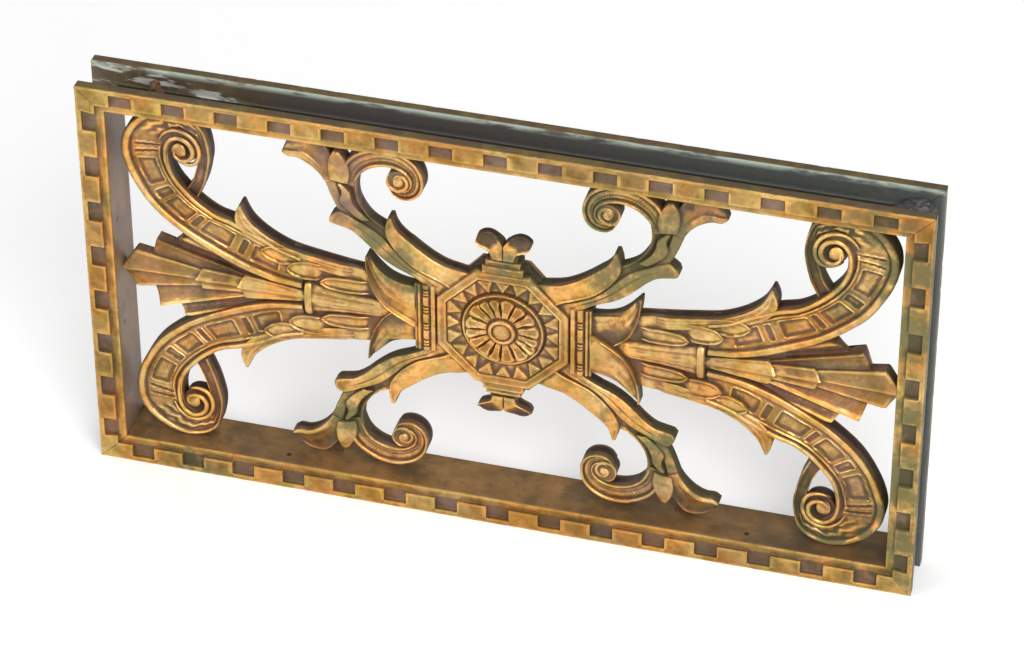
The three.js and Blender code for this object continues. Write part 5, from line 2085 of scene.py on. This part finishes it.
@dataclass
class Studio:
    """Pale floor, soft lights and the camera at the photograph's angle."""

    azimuth: float = 15.78
    elevation: float = 36.54
    roll: float = -0.2
    distance: float = 2.802
    aim_right: float = 0.0105
    aim_up: float = 0.0089
    lens: float = 149.9
    floor_half: float = 6.0
    lamp_target: tuple[float, float, float] = (0.0, 0.0, 0.12)

    def camera(self) -> None:
        """Camera that looks back along the line given by the azimuth and the elevation."""
        az, el, roll = (math.radians(v) for v in (self.azimuth, self.elevation, self.roll))
        back = Vector((math.sin(az) * math.cos(el), -math.cos(az) * math.cos(el), math.sin(el)))
        right = Vector((math.cos(az), math.sin(az), 0.0))
        up = back.cross(right)
        aim = Vector((0.0, -DEPTH / 2 * MM, MIDDLE_Z * MM))
        place = aim + back * self.distance + right * self.aim_right + up * self.aim_up
        across = right * math.cos(roll) + up * math.sin(roll)
        above = up * math.cos(roll) - right * math.sin(roll)
        data = bpy.data.cameras.new("photo_camera")
        data.lens = self.lens
        data.sensor_width = 36.0
        data.clip_end = 50.0
        obj = bpy.data.objects.new("photo_camera", data)
        turn = Matrix((across, above, back)).transposed().to_4x4()
        obj.matrix_world = Matrix.Translation(place) @ turn
        bpy.context.scene.collection.objects.link(obj)
        bpy.context.scene.camera = obj

    def lamp(self, name: str, place: Sequence[float], size: float, power: float) -> None:
        """Square soft light aimed at the panel.

        Args:
            name: name of the light.
            place: its middle in metres.
            size: its side in metres.
            power: its power in watts.
        """
        data = bpy.data.lights.new(name, "AREA")
        data.shape = "SQUARE"
        data.size = size
        data.energy = power
        obj = bpy.data.objects.new(name, data)
        heading = Vector(self.lamp_target) - Vector(place)
        obj.rotation_euler = heading.to_track_quat("-Z", "Y").to_euler()
        obj.location = place
        bpy.context.scene.collection.objects.link(obj)

    def floor(self) -> None:
        """Plain pale floor that the panel stands on."""
        half = self.floor_half
        mesh = bpy.data.meshes.new("floor")
        mesh.from_pydata([(-half, -half, 0), (half, -half, 0), (half, half, 0), (-half, half, 0)], [],
                         [(0, 1, 2, 3)])
        obj = bpy.data.objects.new("floor", mesh)
        bpy.context.scene.collection.objects.link(obj)
        material, w, shader = Bronze("pale_floor").start()
        shader.inputs["Base Color"].default_value = (0.9, 0.9, 0.9, 1)
        shader.inputs["Roughness"].default_value = 0.9
        shader.inputs["Specular IOR Level"].default_value = 0.1
        shader.inputs["Emission Color"].default_value = (1, 1, 1, 1)
        shader.inputs["Emission Strength"].default_value = 0.2
        mesh.materials.append(material)

    def world(self) -> None:
        """Soft surround: pale near the horizon in front, dimmer overhead and behind."""
        world = bpy.data.worlds.new("studio")
        bpy.context.scene.world = world
        world.use_nodes = True
        world.node_tree.nodes.clear()
        w = Wiring(world.node_tree)
        heading = w.node("ShaderNodeTexCoord").outputs["Generated"]
        _, y, z = w.axes(heading)
        front = w.span(y, -0.9, 0.5, 1.0, 0.42)
        low = w.span(z, 0.0, 0.75, 1.0, 0.35)
        shade = w.node("ShaderNodeBackground")
        shade.inputs["Color"].default_value = (1, 1, 1, 1)
        w.feed(shade.inputs["Strength"], w.times(w.times(front, low), 0.95))
        w.feed(w.node("ShaderNodeOutputWorld").inputs["Surface"], shade.outputs[0])

    def build(self) -> None:
        """Camera, floor, surround, a large key light in front on the right and a weaker fill on the left."""
        self.camera()
        self.floor()
        self.world()
        self.lamp("key", (1.3, -2.0, 1.9), 1.6, 62.0)
        self.lamp("fill", (-1.9, -1.7, 1.2), 1.6, 22.0)
        self.lamp("overhead", (0.0, 0.4, 2.8), 2.4, 30.0)
        bpy.context.scene.view_settings.view_transform = "Standard"


def main() -> None:
    """Builds the studio, the finishes and every piece."""
    logging.basicConfig(level=logging.INFO, format="%(name)s: %(message)s")
    Studio().build()
    mask = Mask()
    patina_and_painted_light, grain = patina_and_painted_light_group(), grain_group()
    casting_bronze = Bronze("casting_bronze").make(patina_and_painted_light, grain, mask)
    frame_bronze = FrameBronze("frame_bronze", crest=(0.66, 0.43, 0.145, 1), body=(0.34, 0.208, 0.069, 1),
                               recess=(0.19, 0.12, 0.085, 1), wear=0.7).make(patina_and_painted_light, grain, mask)
    rust = Crust("rust", (0.20, 0.095, 0.045, 1), (0.06, 0.033, 0.022, 1), 0.2, 0.9).make(grain)
    lead = Crust("old_solder", (0.115, 0.108, 0.108, 1), (0.02, 0.018, 0.018, 1), 0.3, 0.66).make(grain)
    Casting(mask=mask).build(casting_bronze)
    for side in Side:
        FrameBar(side).build(frame_bronze, mask)
    ChannelFittings().build(rust, lead)


if __name__ == "__main__":
    main()
